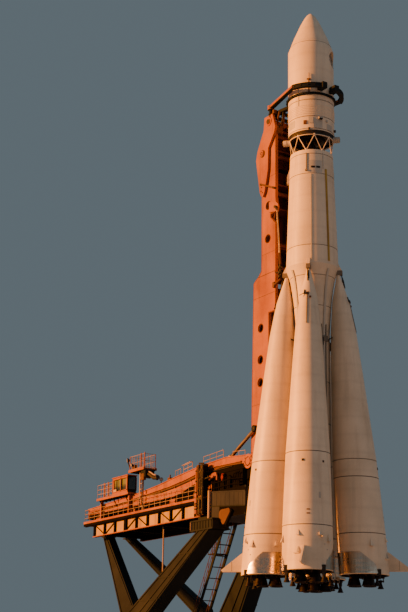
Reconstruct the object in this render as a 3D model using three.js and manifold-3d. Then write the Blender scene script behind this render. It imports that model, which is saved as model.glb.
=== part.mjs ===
// A space rocket hung upright on its erector, as a 1:2 scale model.
// A core stage with four strap-on boosters, an open truss, a third stage and a fairing
// is held by the head of a steel boom. The boom is hinged at one end of a platform, which
// stands on two V-shaped pairs of legs, on piers.
//
// Sizes are metres of the full-size launcher. SCALE turns them into millimetres of the model.
// +X points from the platform to the rocket, +Y across the platform, +Z up.
// Heights of the rocket and of the steelwork are counted from the engines' lowest nozzle level.

import * as THREE from 'three';
import { mergeVertices } from 'three/addons/utils/BufferGeometryUtils.js';
import Module from 'manifold-3d';

const wasm = await Module();
wasm.setup();

// Driving dimensions

const SCALE = 500; // millimetres of model per metre of launcher: 1:2
const FLOOR = -6.0; // the floor, below the nozzle level
const GAP = 0.001; // between pieces that touch
const SEAT = 0.0007; // round a pin in its hole
const ROUND = 32; // sides of a large round body
const SMALL_ROUND = 12; // sides of a bell, pin or tube

const TIP = 38.3; // top of the nose
const STAGE_R = 1.5; // third stage and fairing
const NOSE_SEAM = 36.3;
const SHROUD_TOP = 35.3; // where the fairing's cylinder turns into its cone
const FAIRING_BASE = 32.45;
const STAGE_BASE = 29.1;
const CORE_TOP = 27.8;
const CORE_TOP_R = 1.39;
const SHOULDER = 20.2; // widest level of the core
const SHOULDER_R = 1.66;
const CORE_R = 1.06;
const CORE_TAIL_TOP = 2.6;
const CORE_TAIL_R = 1.2;
const CORE_TAIL_BASE = 1.0;

const BOOSTER_AXIS = 2.95; // distance from the core's axis at the booster's rim
const BOOSTER_LEAN = 0.07; // how far the axis comes in for each metre up
const RIM = 1.15;
const TAIL_TOP = 3.6;
const RIM_R = 1.47;
const TIP_OF_BOOSTER = 19.77;
const BOOSTERS = { a: -45, b: 45, c: 135, d: -135 }; // name: direction in degrees from +X

const BELL_BASE = 0.55;
const CORE_BELL_BASE = 0.25;
const BELL_SPACING = 0.43; // from the engine's centre, both ways
const VERNIER_PIVOT = 0.92; // height of the swivel axis
const VERNIER_BASE = 0.48;

const BOOM_HALF = 1.2; // half the boom's width
const PLATE = 0.12;
const PIVOT = [-4.25, 8.4]; // the boom's hinge: x, z
const PIVOT_R = 0.24;
const BEAM_INNER = 1.55; // the frame beams' faces
const BEAM_OUTER = 1.9;
const DECK_TOP = 6.6;
const DECK_HALF = 2.2;
const FAR_END = -25.8;
const PIER_X = -15.0;
const PIER_Y = 3.7;
const PIER_TOP = -1.2;

// Colours: slot name to colour, roughness and metalness

const MATERIALS = {
  white_paint: [0xd9cbb2, 0.6, 0.1],
  bare_metal: [0xa9a59b, 0.35, 0.8],
  dark_engine: [0x2a2320, 0.6, 0.5],
  orange_steel: [0xc0622c, 0.6, 0.2],
  brass_yellow: [0xc9962f, 0.45, 0.3],
  grey_steel: [0x6b6862, 0.7, 0.2],
  dark_steel: [0x35302c, 0.7, 0.3],
  cabin_glass: [0x6f7a45, 0.3, 0.1],
};
const materials = Object.fromEntries(
  Object.entries(MATERIALS).map(([name, [color, roughness, metalness]]) => [
    name,
    new THREE.MeshStandardMaterial({ name, color, roughness, metalness }),
  ]),
);

// Turning geometries into solids, joining them and adding them to the scene

function solid(geometry) {
  const bare = geometry.clone();
  for (const name of Object.keys(bare.attributes)) {
    if (name !== 'position') bare.deleteAttribute(name);
  }
  const merged = mergeVertices(bare, 1e-5);
  const corners = merged.index.array;
  const kept = [];
  for (let i = 0; i < corners.length; i += 3) {
    const [a, b, c] = [corners[i], corners[i + 1], corners[i + 2]];
    if (a !== b && b !== c && c !== a) kept.push(a, b, c);
  }
  const vertProperties = new Float32Array(merged.attributes.position.array);
  const build = (list) => new wasm.Manifold(
    new wasm.Mesh({ numProp: 3, vertProperties, triVerts: new Uint32Array(list) }));
  const body = build(kept);
  return body.volume() > 0 ? body : build(kept.reverse()); // a profile may run either way round
}

function geometryOf(manifold) {
  const mesh = manifold.getMesh();
  const geometry = new THREE.BufferGeometry();
  geometry.setAttribute('position', new THREE.BufferAttribute(mesh.vertProperties, 3));
  geometry.setIndex(new THREE.BufferAttribute(mesh.triVerts, 1));
  return geometry;
}

const join = (shapes) => shapes.map(solid).reduce((sum, shape) => sum.add(shape));
const cut = (body, shapes) => shapes.map(solid).reduce((rest, shape) => rest.subtract(shape), body);

const model = new THREE.Group();

function add(name, slot, body) {
  const geometry = body instanceof THREE.BufferGeometry ? geometryOf(solid(body)) : geometryOf(body);
  geometry.translate(0, 0, -FLOOR);
  geometry.scale(SCALE, SCALE, SCALE);
  geometry.computeVertexNormals();
  const mesh = new THREE.Mesh(geometry, materials[slot]);
  mesh.name = name;
  model.add(mesh);
}

// Simple shapes, all in the launcher's frame

function block([x0, x1], [y0, y1], [z0, z1]) {
  const shape = new THREE.BoxGeometry(x1 - x0, y1 - y0, z1 - z0);
  return shape.translate((x0 + x1) / 2, (y0 + y1) / 2, (z0 + z1) / 2);
}

// A body turned about the vertical axis. Rows of the profile are radius, height.
function turned(profile, sides = ROUND) {
  const points = profile.map(([radius, height]) => new THREE.Vector2(radius, height));
  return new THREE.LatheGeometry(points, sides).rotateX(Math.PI / 2);
}

// A plate: an outline of x, z points, between two values of y.
function plate(outline, y0, y1) {
  const shape = new THREE.Shape(outline.map(([x, z]) => new THREE.Vector2(x, z)));
  const body = new THREE.ExtrudeGeometry(shape, { depth: y1 - y0, bevelEnabled: false });
  return body.rotateX(Math.PI / 2).translate(0, y1, 0);
}

// A round bar between two points, turned on itself by a part of one of its sides.
function bar(from, to, radius, sides = 8, twist = 0) {
  const [a, b] = [new THREE.Vector3(...from), new THREE.Vector3(...to)];
  const along = new THREE.Vector3().subVectors(b, a);
  const body = new THREE.CylinderGeometry(radius, radius, along.length(), sides)
    .rotateY((2 * Math.PI * twist) / sides);
  const turn = new THREE.Quaternion().setFromUnitVectors(
    new THREE.Vector3(0, 1, 0), along.clone().normalize());
  return body.applyQuaternion(turn).translate(...a.add(b).multiplyScalar(0.5).toArray());
}

// The hole for a pin. Its flats face the pin's edges, so the pin turns in it with SEAT to spare.
function pinHole(from, to, radius, sides) {
  return bar(from, to, (radius + SEAT) / Math.cos(Math.PI / sides), sides, 0.5);
}

const radians = (degrees) => (degrees * Math.PI) / 180;
const mirrored = (outline) => outline.map(([x, y]) => [x, -y]);

// Rocket: fairing, third stage and truss

const HATCH_ANGLE = 40;
const HATCH_Z = 34.62;
const HATCH_R = 0.64;

function radialDisc(radius, from, to, angle, height) {
  const disc = new THREE.CylinderGeometry(radius, radius, to - from, 20);
  return disc.rotateZ(Math.PI / 2).translate((from + to) / 2, 0, height).rotateZ(radians(angle));
}

function addFairing() {
  const cone = [[0, NOSE_SEAM + GAP], [1.14, NOSE_SEAM + GAP], [0.72, 37.3], [0.37, 37.97],
    [0.12, 38.26], [0, TIP]];
  add('fairing_nose', 'white_paint', turned(cone));
  const shroud = turned([[0, FAIRING_BASE], [STAGE_R, FAIRING_BASE], [STAGE_R, SHROUD_TOP],
    [1.14, NOSE_SEAM], [0, NOSE_SEAM]]);
  const recess = radialDisc(HATCH_R, 1.1, 1.8, HATCH_ANGLE, HATCH_Z);
  add('fairing_shroud', 'white_paint', cut(solid(shroud), [recess]));
  add('hatch_cover', 'dark_engine',
    radialDisc(HATCH_R - 0.06, 1.1 + GAP, 1.2, HATCH_ANGLE, HATCH_Z));
}

function addThirdStage() {
  const tank = turned([[0, STAGE_BASE], [1.44, STAGE_BASE], [STAGE_R, STAGE_BASE + 0.12],
    [STAGE_R, FAIRING_BASE - GAP], [0, FAIRING_BASE - GAP]]);
  const drums = [45, -135].map((angle) => radialDisc(0.2, 1.3, 1.86, angle, STAGE_BASE + 0.22));
  add('third_stage', 'white_paint', join([tank, ...drums]));
  const bell = turned([[0, STAGE_BASE - GAP], [0.5, STAGE_BASE - GAP], [0.5, 28.9], [0.2, 28.78],
    [0.3, 28.5], [0.52, 28.12], [0.47, 28.12], [0.25, 28.5], [0, 28.6]], SMALL_ROUND);
  add('third_stage_engine', 'dark_engine', bell);
}

function ring(inner, outer, bottom, top, sides = ROUND) {
  return turned([[inner, bottom], [outer, bottom], [outer, top], [inner, top], [inner, bottom]], sides);
}

function addTruss() {
  const [topZ, topR, baseZ, baseR] = [STAGE_BASE - 0.08, 1.4, CORE_TOP + 0.08, 1.33];
  const rods = [];
  for (let i = 0; i < 8; i += 1) {
    const at = radians(45 * i);
    for (const side of [-22.5, 22.5]) {
      const foot = at + radians(side);
      rods.push(bar([topR * Math.cos(at), topR * Math.sin(at), topZ],
        [baseR * Math.cos(foot), baseR * Math.sin(foot), baseZ], 0.035, 5));
    }
  }
  const rings = [ring(1.33, 1.43, STAGE_BASE - 0.13, STAGE_BASE - GAP, 24),
    ring(1.27, 1.38, CORE_TOP + GAP, CORE_TOP + 0.11, 24)];
  add('interstage_truss', 'white_paint', join([...rings, ...rods]));
}

// Rocket: core stage

function addCore() {
  add('core_upper', 'white_paint', turned([[0, SHOULDER + GAP], [SHOULDER_R, SHOULDER + GAP],
    [CORE_TOP_R, CORE_TOP], [1.2, CORE_TOP], [0.9, CORE_TOP + 0.16], [0, CORE_TOP + 0.24]]));
  const lower = turned([[0, CORE_TAIL_TOP], [CORE_R, CORE_TAIL_TOP], [CORE_R, 16], [1.14, 17.2],
    [1.2, 18], [1.3, 18.8], [1.4, 19.4], [SHOULDER_R, SHOULDER], [0, SHOULDER]]);
  const sockets = Object.values(BOOSTERS).map((angle) => block([1.3, 1.9], [-0.13, 0.13],
    [TIP_OF_BOOSTER + GAP, 20.05]).rotateZ(radians(angle)));
  add('core_lower', 'white_paint', join([lower, ...sockets]));
  const tail = turned([[0, CORE_TAIL_BASE], [CORE_TAIL_R, CORE_TAIL_BASE],
    [CORE_TAIL_R, CORE_TAIL_TOP - GAP], [0, CORE_TAIL_TOP - GAP]]);
  const tieZ = 2.3;
  const ties = Object.values(BOOSTERS).map((angle) => block(
    [1.0, boosterAxis(tieZ) - RIM_R - GAP], [-0.2, 0.2], [tieZ - 0.1, tieZ]).rotateZ(radians(angle)));
  const forks = CORE_VERNIERS.flatMap((v) => [
    ...fork(v, CORE_TAIL_BASE + 0.2),
    block([1.0, 1.78], [-0.12, 0.12], [CORE_TAIL_BASE + 0.04, CORE_TAIL_BASE + 0.2])
      .rotateZ(radians(v.angle)),
  ]);
  add('core_tail', 'bare_metal', cut(join([tail, ...ties, ...forks]), CORE_VERNIERS.map(forkHole)));
  add('core_engine', 'dark_engine', engine(0, 0, CORE_BELL_BASE, CORE_TAIL_BASE - GAP, 1.1));
}

// Engines: a thrust plate with four bells under it

function bell(x, y, base, top) {
  const rise = top - base;
  return turned([[0, top], [0.2, top], [0.26, base + 0.55 * rise], [0.38, base], [0.34, base],
    [0, base + 0.6 * rise]], SMALL_ROUND).translate(x, y, 0);
}

function engine(x, y, base, top, plateR) {
  const plateBase = top - 0.12;
  const parts = [turned([[0, plateBase], [plateR, plateBase], [plateR, top], [0, top]], 24)
    .translate(x, y, 0)];
  for (const dx of [-BELL_SPACING, BELL_SPACING]) {
    for (const dy of [-BELL_SPACING, BELL_SPACING]) {
      parts.push(bell(x + dx, y + dy, base, plateBase + 0.02));
    }
  }
  return join(parts);
}

// Verniers: small steering nozzles, each on a swivel pin that points away from the core

const CORE_VERNIERS = [0, 90, 180, 270].map((angle, i) => ({
  name: `core_vernier_${i + 1}`, angle, out: 1.6, across: 0,
}));
const PIN_R = 0.05;
const PIN_SIDES = 8;
const FORK_OFFSET = 0.17; // from the nozzle's centre to each fork plate's middle
const FORK_PLATE = 0.04;

function fork(v, top) {
  return [-1, 1].map((side) => {
    const middle = v.out + side * FORK_OFFSET;
    const ear = block([middle - FORK_PLATE / 2, middle + FORK_PLATE / 2],
      [v.across - 0.09, v.across + 0.09], [VERNIER_PIVOT - 0.1, top]);
    return ear.rotateZ(radians(v.angle));
  });
}

function forkHole(v) {
  return pinHole([v.out - 0.3, v.across, VERNIER_PIVOT], [v.out + 0.3, v.across, VERNIER_PIVOT],
    PIN_R, PIN_SIDES).rotateZ(radians(v.angle));
}

function addVernier(v) {
  const nozzle = turned([[0, VERNIER_PIVOT + 0.07], [0.08, VERNIER_PIVOT + 0.07],
    [0.08, VERNIER_PIVOT - 0.1], [0.18, VERNIER_BASE], [0.15, VERNIER_BASE],
    [0, VERNIER_PIVOT - 0.2]], 10).translate(v.out, v.across, 0);
  const pinReach = FORK_OFFSET + FORK_PLATE;
  const pin = bar([v.out - pinReach, v.across, VERNIER_PIVOT],
    [v.out + pinReach, v.across, VERNIER_PIVOT], PIN_R, PIN_SIDES);
  const parts = [nozzle, pin].map((shape) => shape.rotateZ(radians(v.angle)));
  add(v.name, 'dark_engine', join(parts));
}

// Boosters: turned bodies, sheared so that they lean in towards the core's shoulder

const boosterAxis = (height) => BOOSTER_AXIS - BOOSTER_LEAN * (height - RIM);

function leaning(profile, sides = ROUND) {
  const lean = new THREE.Matrix4().makeShear(0, 0, 0, 0, -BOOSTER_LEAN, 0);
  return turned(profile, sides).applyMatrix4(lean).translate(boosterAxis(0), 0, 0);
}

function boosterVerniers(letter, angle) {
  return [-1, 1].map((side, i) => ({
    name: `booster_${letter}_vernier_${i + 1}`, angle, out: BOOSTER_AXIS + 0.84, across: side * 1.06,
  }));
}

function addBooster(letter, angle) {
  const turn = radians(angle);
  const body = leaning([[0, TAIL_TOP], [1.46, TAIL_TOP], [1.4, 5.5], [1.32, 7.9], [1.2, 9.75],
    [0.99, 13.1], [0.8, 15.9], [0.53, 18], [0.1, TIP_OF_BOOSTER], [0, TIP_OF_BOOSTER]]);
  add(`booster_${letter}_tank`, 'white_paint', body.rotateZ(turn));

  const verniers = boosterVerniers(letter, angle);
  const tail = leaning([[0, RIM + 0.2], [RIM_R - 0.08, RIM + 0.2], [RIM_R - 0.08, RIM], [RIM_R, RIM],
    [1.46, TAIL_TOP - GAP], [0, TAIL_TOP - GAP]]);
  const fin = plate([[4.2, 1.45], [5.66, 1.45], [5.66, 1.52], [4.36, 2.5], [4.2, 2.5]], -0.06, 0.06);
  const forks = verniers.flatMap((v) => [
    block([v.out - 0.24, v.out + 0.24], [v.across - 0.12, v.across + 0.12], [RIM - 0.06, RIM + 0.28])
      .rotateZ(turn),
    ...fork(v, RIM + 0.05),
  ]);
  const joined = join([tail.rotateZ(turn), fin.rotateZ(turn), ...forks]);
  add(`booster_${letter}_tail`, 'bare_metal', cut(joined, verniers.map(forkHole)));
  verniers.forEach(addVernier);

  const centre = 2.78;
  const motor = engine(centre, 0, BELL_BASE, RIM + 0.2 - GAP, 0.95).rotate([0, 0, angle]);
  add(`booster_${letter}_engine`, 'dark_engine', motor);
}

// Erector: boom, head and clamp

const BOOM_SPLICE = 20.6; // where the upper boom stands on the lower one
const LOWER_BOOM = [[-3.5, 7.6], [-3.5, 10.5], [-3.1, 11.2], [-3.1, 17.95], [-2.36, 17.95],
  [-2.36, BOOM_SPLICE], [-4.35, BOOM_SPLICE], [-4.8, 20.3], [-5.0, 7.6]];
const UPPER_BOOM = [[-2.36, BOOM_SPLICE + GAP], [-2.36, 23.9], [-2.9, 24.4], [-2.9, 24.65],
  [-2.3, 24.65], [-2.22, 24.85], [-2.26, 25.1], [-2.36, 25.7], [-2.36, 30.2], [-3.5, 30.2],
  [-3.9, 29.2], [-3.9, 20.95], [-4.3, BOOM_SPLICE + GAP]];
const HEAD = [[-3.75, 26.1], [-3.55, 26.0], [-3.35, 26.3], [-3.15, 27.0], [-2.97, 27.8],
  [-2.93, 29.3], [-2.25, 30.2], [-2.15, 30.6], [-2.45, 31.6], [-3.38, 31.6], [-3.46, 30.7],
  [-4.2, 29.4], [-4.35, 28.8], [-3.9, 26.4]];
const HEAD_PIN_R = 0.2;
const HOLE_R = 0.26;

function lighteningHoles(places) {
  return places.map(([x, z]) => bar([x, -2, z], [x, 2, z], HOLE_R, SMALL_ROUND));
}

// Two cheeks and a back plate, open towards the rocket, with plates across inside.
function channel(outline, back, shelves) {
  const cheeks = [-1, 1].map((side) => plate(outline,
    Math.min(side * BOOM_HALF, side * (BOOM_HALF - PLATE)),
    Math.max(side * BOOM_HALF, side * (BOOM_HALF - PLATE))));
  const web = plate(back, -BOOM_HALF + 0.02, BOOM_HALF - 0.02);
  const plates = shelves.map(([x0, x1, z]) => block([x0, x1],
    [-BOOM_HALF + 0.02, BOOM_HALF - 0.02], [z, z + 0.08]));
  return join([...cheeks, web, ...plates]);
}

function addBoom() {
  const lowerBack = [[-5.0, 7.6], [-5.0 + PLATE, 7.6], [-4.8 + PLATE, 20.3], [-4.8, 20.3]];
  const lowerShelves = [[-4.85, -3.6, 7.62], [-4.85, -3.6, 9.4], [-4.8, -3.2, 12.8],
    [-4.8, -3.2, 15.4], [-4.4, -2.45, BOOM_SPLICE - 0.1]];
  const [px, pz] = PIVOT;
  const bosses = [-1, 1].flatMap((side) => [
    bar([px, side * (BOOM_HALF - 0.05), pz], [px, side * (BEAM_INNER - SEAT), pz], 0.38, 16),
    bar([px, side * BOOM_HALF, pz], [px, side * (BEAM_OUTER + 0.06), pz], PIVOT_R, 16),
  ]);
  const lower = join([geometryOf(channel(LOWER_BOOM, lowerBack, lowerShelves)), ...bosses]);
  const lowerHoles = lighteningHoles([[-3.98, 17.1], [-4.0, 15.0], [-4.0, 13.5]]);
  add('boom_lower', 'orange_steel', cut(lower, lowerHoles));

  const upperBack = [[-4.3, BOOM_SPLICE + GAP], [-3.9 + PLATE, BOOM_SPLICE + GAP],
    [-3.9 + PLATE, 29.2], [-3.5 + PLATE, 30.2], [-3.5, 30.2], [-3.9, 29.2], [-3.9, 20.95]];
  const upperShelves = [20.75, 22.2, 24.9, 26.6, 29.0].map((z) => [-3.85, -2.5, z]);
  const upper = channel(UPPER_BOOM, upperBack, upperShelves);
  add('boom_upper', 'orange_steel', cut(upper, lighteningHoles([[-3.15, 25.3], [-3.2, 23.0]])));

  const cheeks = [-1, 1].map((side) => plate(HEAD,
    side > 0 ? BOOM_HALF + GAP : -BOOM_HALF - 0.18, side > 0 ? BOOM_HALF + 0.18 : -BOOM_HALF - GAP));
  const pinEnd = BOOM_HALF + 0.26;
  const pin = bar([-2.86, -pinEnd, 31.15], [-2.86, pinEnd, 31.15], HEAD_PIN_R, SMALL_ROUND);
  const headBosses = [-1, 1].map((side) => bar([-3.59, side * (BOOM_HALF + 0.1), 29.08],
    [-3.59, side * pinEnd, 29.08], HEAD_PIN_R, SMALL_ROUND));
  add('boom_head', 'orange_steel', join([...cheeks, pin, ...headBosses]));
}

const RING_Z = [31.66, 31.84];

function addClampRing() {
  const hoop = ring(STAGE_R + GAP, STAGE_R + 0.16, ...RING_Z);
  const shelf = cut(solid(block([-3.25, -1.2], [-1.5, 1.5], [31.6 + GAP, 31.84])),
    [turned([[0, 31], [STAGE_R + 0.1, 31], [STAGE_R + 0.1, 33], [0, 33]])]);
  const lugs = HINGES.flatMap(([x, y]) => [
    bar([x, y, 31.7], [x, y, JAW_Z[0] - SEAT], 0.24, SMALL_ROUND),
    bar([x, y, 31.7], [x, y, JAW_Z[1] + 0.06], HINGE_R, SMALL_ROUND),
  ]);
  add('clamp_ring', 'dark_steel', join([hoop, geometryOf(shelf), ...lugs]));
}

const JAW_Z = [31.98, 32.26];
const JAW_R = [1.86, 2.14];
const HINGES = [[-2.75, 1.3], [-2.75, -1.3]];
const HINGE_R = 0.09;

function addJaw(name, side) {
  const [inner, outer] = JAW_R;
  const arc = [];
  const steps = 12;
  const [start, end] = [radians(10), radians(118)];
  for (let i = 0; i <= steps; i += 1) {
    const t = start + ((end - start) * i) / steps;
    arc.push([outer * Math.cos(t), outer * Math.sin(t)]);
  }
  arc.push([-2.75, 1.52], [-2.95, 1.42], [-2.95, 1.18], [-2.75, 1.08], [-1.4, 1.28]);
  for (let i = steps; i >= 0; i -= 1) {
    const t = start + ((end - start) * i) / steps;
    arc.push([inner * Math.cos(t), inner * Math.sin(t)]);
  }
  const outline = side > 0 ? arc : mirrored(arc);
  const shape = new THREE.Shape(outline.map(([x, y]) => new THREE.Vector2(x, y)));
  const arm = new THREE.ExtrudeGeometry(shape, { depth: JAW_Z[1] - JAW_Z[0], bevelEnabled: false })
    .translate(0, 0, JAW_Z[0]);
  const pad = block([STAGE_R + 0.05, JAW_R[1] - 0.02], side > 0 ? [0.3, 0.66] : [-0.66, -0.3],
    [JAW_Z[0] - 0.06, JAW_Z[1] + 0.06]);
  const [x, y] = [HINGES[0][0], side * HINGES[0][1]];
  const hole = pinHole([x, y, 31.5], [x, y, 33], HINGE_R, SMALL_ROUND);
  add(name, 'orange_steel', cut(join([arm, pad]), [hole]));
}

// Platform: frame beams, deck, side girders, pedestal and what stands on them

const FRAME_BEAM = [[-3.6, 8.05], [-3.6, 8.75], [-6.8, 9.0], [-9.8, 8.85], [-13.2, 8.5], [-15.2, 8.25],
  [-18, 8.0], [-25.7, 7.65], [-25.7, 6.92], [-18, 7.0], [-10.2, 7.2], [-8.6, 8.05]];
const PEDESTAL_TOP = 6.9;
const LEG_CAP_TOP = 5.1;
const GIRDER_BASE = 5.44;
const CROSSBEAM_BASE = 5.6;
const SIDES = [['left', -1], ['right', 1]];

// A range of y on one side of the platform, from the inner to the outer distance.
const across = (side, inner, outer) => (side > 0 ? [inner, outer] : [-outer, -inner]);

function addFrame() {
  const beams = SIDES.map(([, side]) => plate(FRAME_BEAM, ...across(side, BEAM_INNER, BEAM_OUTER)));
  const ties = [[-25.6, -25.0, 6.96, 7.6], [-20.4, -19.8, 7.05, 7.6], [-15.6, -15.0, 7.12, 7.6],
    [-12.4, -11.8, 7.2, 7.6]]
    .map(([x0, x1, z0, z1]) => block([x0, x1], [-BEAM_INNER - 0.1, BEAM_INNER + 0.1], [z0, z1]));
  const stools = [[-24.2, 6.95], [-19.0, 7.0], [-13.5, 7.12], [-10.4, 7.25]].flatMap(
    ([x, top]) => SIDES.map(([, side]) => block([x - 0.35, x + 0.35],
      across(side, BEAM_INNER + 0.04, BEAM_OUTER - 0.04), [DECK_TOP + GAP, top + 0.1])));
  const posts = SIDES.map(([, side]) => block([-5.9, -5.1],
    across(side, BEAM_INNER + 0.05, BEAM_OUTER - 0.05), [PEDESTAL_TOP + GAP, 8.2]));
  const hole = pinHole([PIVOT[0], -2, PIVOT[1]], [PIVOT[0], 2, PIVOT[1]], PIVOT_R, 16);
  add('frame_beams', 'orange_steel', cut(join([...beams, ...ties, ...stools, ...posts]), [hole]));
}

function addDeck() {
  const slab = block([FAR_END, -8.4], [-DECK_HALF, DECK_HALF], [6.45, DECK_TOP]);
  const crossbeams = [-24.3, -20.5, -16.5, -12.5, -9].map(
    (x) => block([x, x + 0.3], [-1.85, 1.85], [CROSSBEAM_BASE, 6.5]));
  const [fx, fz] = CYLINDER_FOOT;
  const lugs = SIDES.flatMap(([, side]) => [
    block([fx - 0.2, fx + 0.2], across(side, EYE_INNER - 0.18, EYE_INNER - SEAT), [6.5, fz + 0.16]),
    bar([fx, side * (EYE_INNER - 0.1), fz], [fx, side * EYE_OUTER, fz], EYE_PIN_R, PIN_SIDES),
  ]);
  const columns = SIDES.map(([, side]) => block([-9.4, -8.5], across(side, 2.17, 2.5), [5.45, 8.75]));
  add('deck', 'orange_steel', join([slab, ...crossbeams, ...lugs, ...columns]));
  for (const [word, side] of SIDES) {
    const parts = [block([-24.4, -8.5], across(side, 1.9, 1.98), [GIRDER_BASE, 6.45 - GAP]),
      block([-24.4, -8.5], across(side, 1.86, 2.16), [GIRDER_BASE, GIRDER_BASE + 0.1]),
      block([-24.4, -8.5], across(side, 1.86, 2.16), [6.33, 6.45 - GAP])];
    for (let i = 0; i <= 10; i += 1) {
      const x = -24.3 + i * 1.57;
      parts.push(block([x - 0.07, x + 0.07], across(side, 1.9, 2.14), [GIRDER_BASE, 6.4]));
    }
    add(`side_girder_${word}`, 'orange_steel', join(parts));
  }
  const pedestal = block([-8.4 + GAP, -4.3], [-2.1, 2.1], [LEG_CAP_TOP + GAP, PEDESTAL_TOP]);
  add('pedestal', 'grey_steel', pedestal);
}

// Raising cylinders: one each side, between the boom and the frame beam

const CYLINDER_FOOT = [-10.9, 7.1];
const CYLINDER_EYE = [-4.3, 10.55]; // where the rod meets the boom's cheek
const [EYE_INNER, EYE_OUTER] = [BOOM_HALF + SEAT, 1.53];
const EYE_R = 0.2;
const EYE_PIN_R = 0.06;
const BARREL_R = 0.155;
const ROD_R = 0.12;
const BARREL_LENGTH = 4.4;
const ROD_LENGTH = 3.9;

function addCylinders() {
  const [[fx, fz], [ex, ez]] = [CYLINDER_FOOT, CYLINDER_EYE];
  const length = Math.hypot(ex - fx, ez - fz);
  for (const [word, side] of SIDES) {
    const middle = (side * (EYE_INNER + EYE_OUTER)) / 2;
    const along = (reach) => [fx + ((ex - fx) * reach) / length, middle, fz + ((ez - fz) * reach) / length];
    const disc = (x, z) => bar([x, side * EYE_INNER, z], [x, side * EYE_OUTER, z], EYE_R, 16);
    const tube = join([bar(along(0.05), along(BARREL_LENGTH), BARREL_R, SMALL_ROUND), disc(fx, fz)]);
    const bore = bar(along(0.45), along(BARREL_LENGTH + 0.1), ROD_R + 0.0008, SMALL_ROUND);
    const pin = pinHole([fx, -2, fz], [fx, 2, fz], EYE_PIN_R, PIN_SIDES);
    add(`cylinder_barrel_${word}`, 'brass_yellow', cut(tube, [bore, pin]));
    const shaft = bar(along(length - ROD_LENGTH), along(length), ROD_R, SMALL_ROUND);
    add(`cylinder_rod_${word}`, 'bare_metal', join([shaft, disc(ex, ez)]));
  }
}

// The operator's cabin: a hollow box with cut windows on a small platform beside the frame

const CABIN = { x: [-21.2, -19.0], y: [-2.35, -1.62], z: [8.13, 9.4] };
const WINDOW_Z = [8.35, 9.25];
const WALL = 0.06;
const GLASS = 0.02;
const inset = ([low, high], by) => [low + by, high - by];

function addCabin() {
  const floor = block([-23.6, -18.85], CABIN.y, [8.03, 8.15]);
  const props = [-23.4, -19.2].map((x) => block([x, x + 0.15], [-2.15, -1.95], [DECK_TOP + GAP, 8.1]));
  const shell = join([block(CABIN.x, CABIN.y, CABIN.z), floor, ...props]);
  const inside = block(inset(CABIN.x, WALL), inset(CABIN.y, WALL), [CABIN.z[0] + 0.08, CABIN.z[1] - WALL]);
  const sideWindows = block(inset(CABIN.x, 0.2), inset(CABIN.y, -0.5), WINDOW_Z);
  const endWindows = block(inset(CABIN.x, -0.5), inset(CABIN.y, 0.16), WINDOW_Z);
  add('cabin', 'grey_steel', cut(shell, [inside, sideWindows, endWindows]));
  const band = (by) => [inset(CABIN.x, WALL + by), inset(CABIN.y, WALL + by)];
  add('cabin_glass', 'cabin_glass', cut(solid(block(...band(GAP), [8.3, 9.33])),
    [block(...band(GAP + GLASS), [8.2, 9.5])]));
}

function addHighPlatform() {
  const floor = block([-18.65, -16.5], [-2.45, -1.45], [9.5, 9.6]);
  const mast = [-17.6, -17.15];
  const rails = mast.map((x) => bar([x, -2.1, DECK_TOP + GAP], [x, -2.1, 9.55], 0.05));
  const rungs = [];
  for (let z = 7; z < 9.4; z += 0.4) rungs.push(bar([mast[0], -2.1, z], [mast[1], -2.1, z], 0.03, 5));
  const posts = [[-18.6, -2.4], [-16.55, -2.4], [-16.55, -1.5], [-18.6, -1.5]].map(
    ([x, y]) => bar([x, y, 9.55], [x, y, 10.62], 0.03, 6));
  add('high_platform', 'orange_steel', join([floor, ...rungs, ...rails, ...posts]));
}

// Supports: two legs on each side meet on a pier, and the piers stand on strip footings

const NEAR_LEG = [[-7.35, 4.45], [-8.9, 4.45], [-16.1, PIER_TOP + GAP], [-13.1, PIER_TOP + GAP]];
const FAR_LEG_TOP = CROSSBEAM_BASE - GAP; // the far legs carry the outermost crossbeam
const FAR_LEG = [[-24.5, FAR_LEG_TOP], [-23.9, FAR_LEG_TOP], [-16.12, 0.1],
  [-16.12, PIER_TOP + GAP], [-16.6, PIER_TOP + GAP]];

// A leg is an x, z outline as thick as its width, sheared so that it splays outwards going down.
function leg(outline, side, inner, width, top, splay) {
  const shear = new THREE.Matrix4().makeShear(0, 0, 0, 0, 0, -splay * side);
  return plate(outline, ...across(side, inner, inner + width))
    .translate(0, 0, -top).applyMatrix4(shear).translate(0, 0, top);
}

function addSupports([word, side]) {
  const cap = block([-9.6, -7.0], across(side, 1.5, 2.75), [4.4, LEG_CAP_TOP]);
  const step = block([-9.6, -8.45], across(side, 1.8, 2.2), [LEG_CAP_TOP - 0.1, GIRDER_BASE - GAP]);
  add(`near_leg_${word}`, 'dark_steel', join([leg(NEAR_LEG, side, 1.6, 1.1, 4.45, 0.28), cap, step]));
  add(`far_leg_${word}`, 'dark_steel', leg(FAR_LEG, side, 0.6, 0.6, FAR_LEG_TOP, 0.366));
  const pier = block([PIER_X - 2.2, PIER_X + 2.0], across(side, PIER_Y - 0.75, PIER_Y + 0.95),
    [FLOOR + 0.5, PIER_TOP]);
  const strip = block([-19.5, 4.0], across(side, PIER_Y - 0.9, PIER_Y + 1.1), [FLOOR, FLOOR + 0.6]);
  add(`footing_${word}`, 'grey_steel', join([pier, strip]));
}

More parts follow.
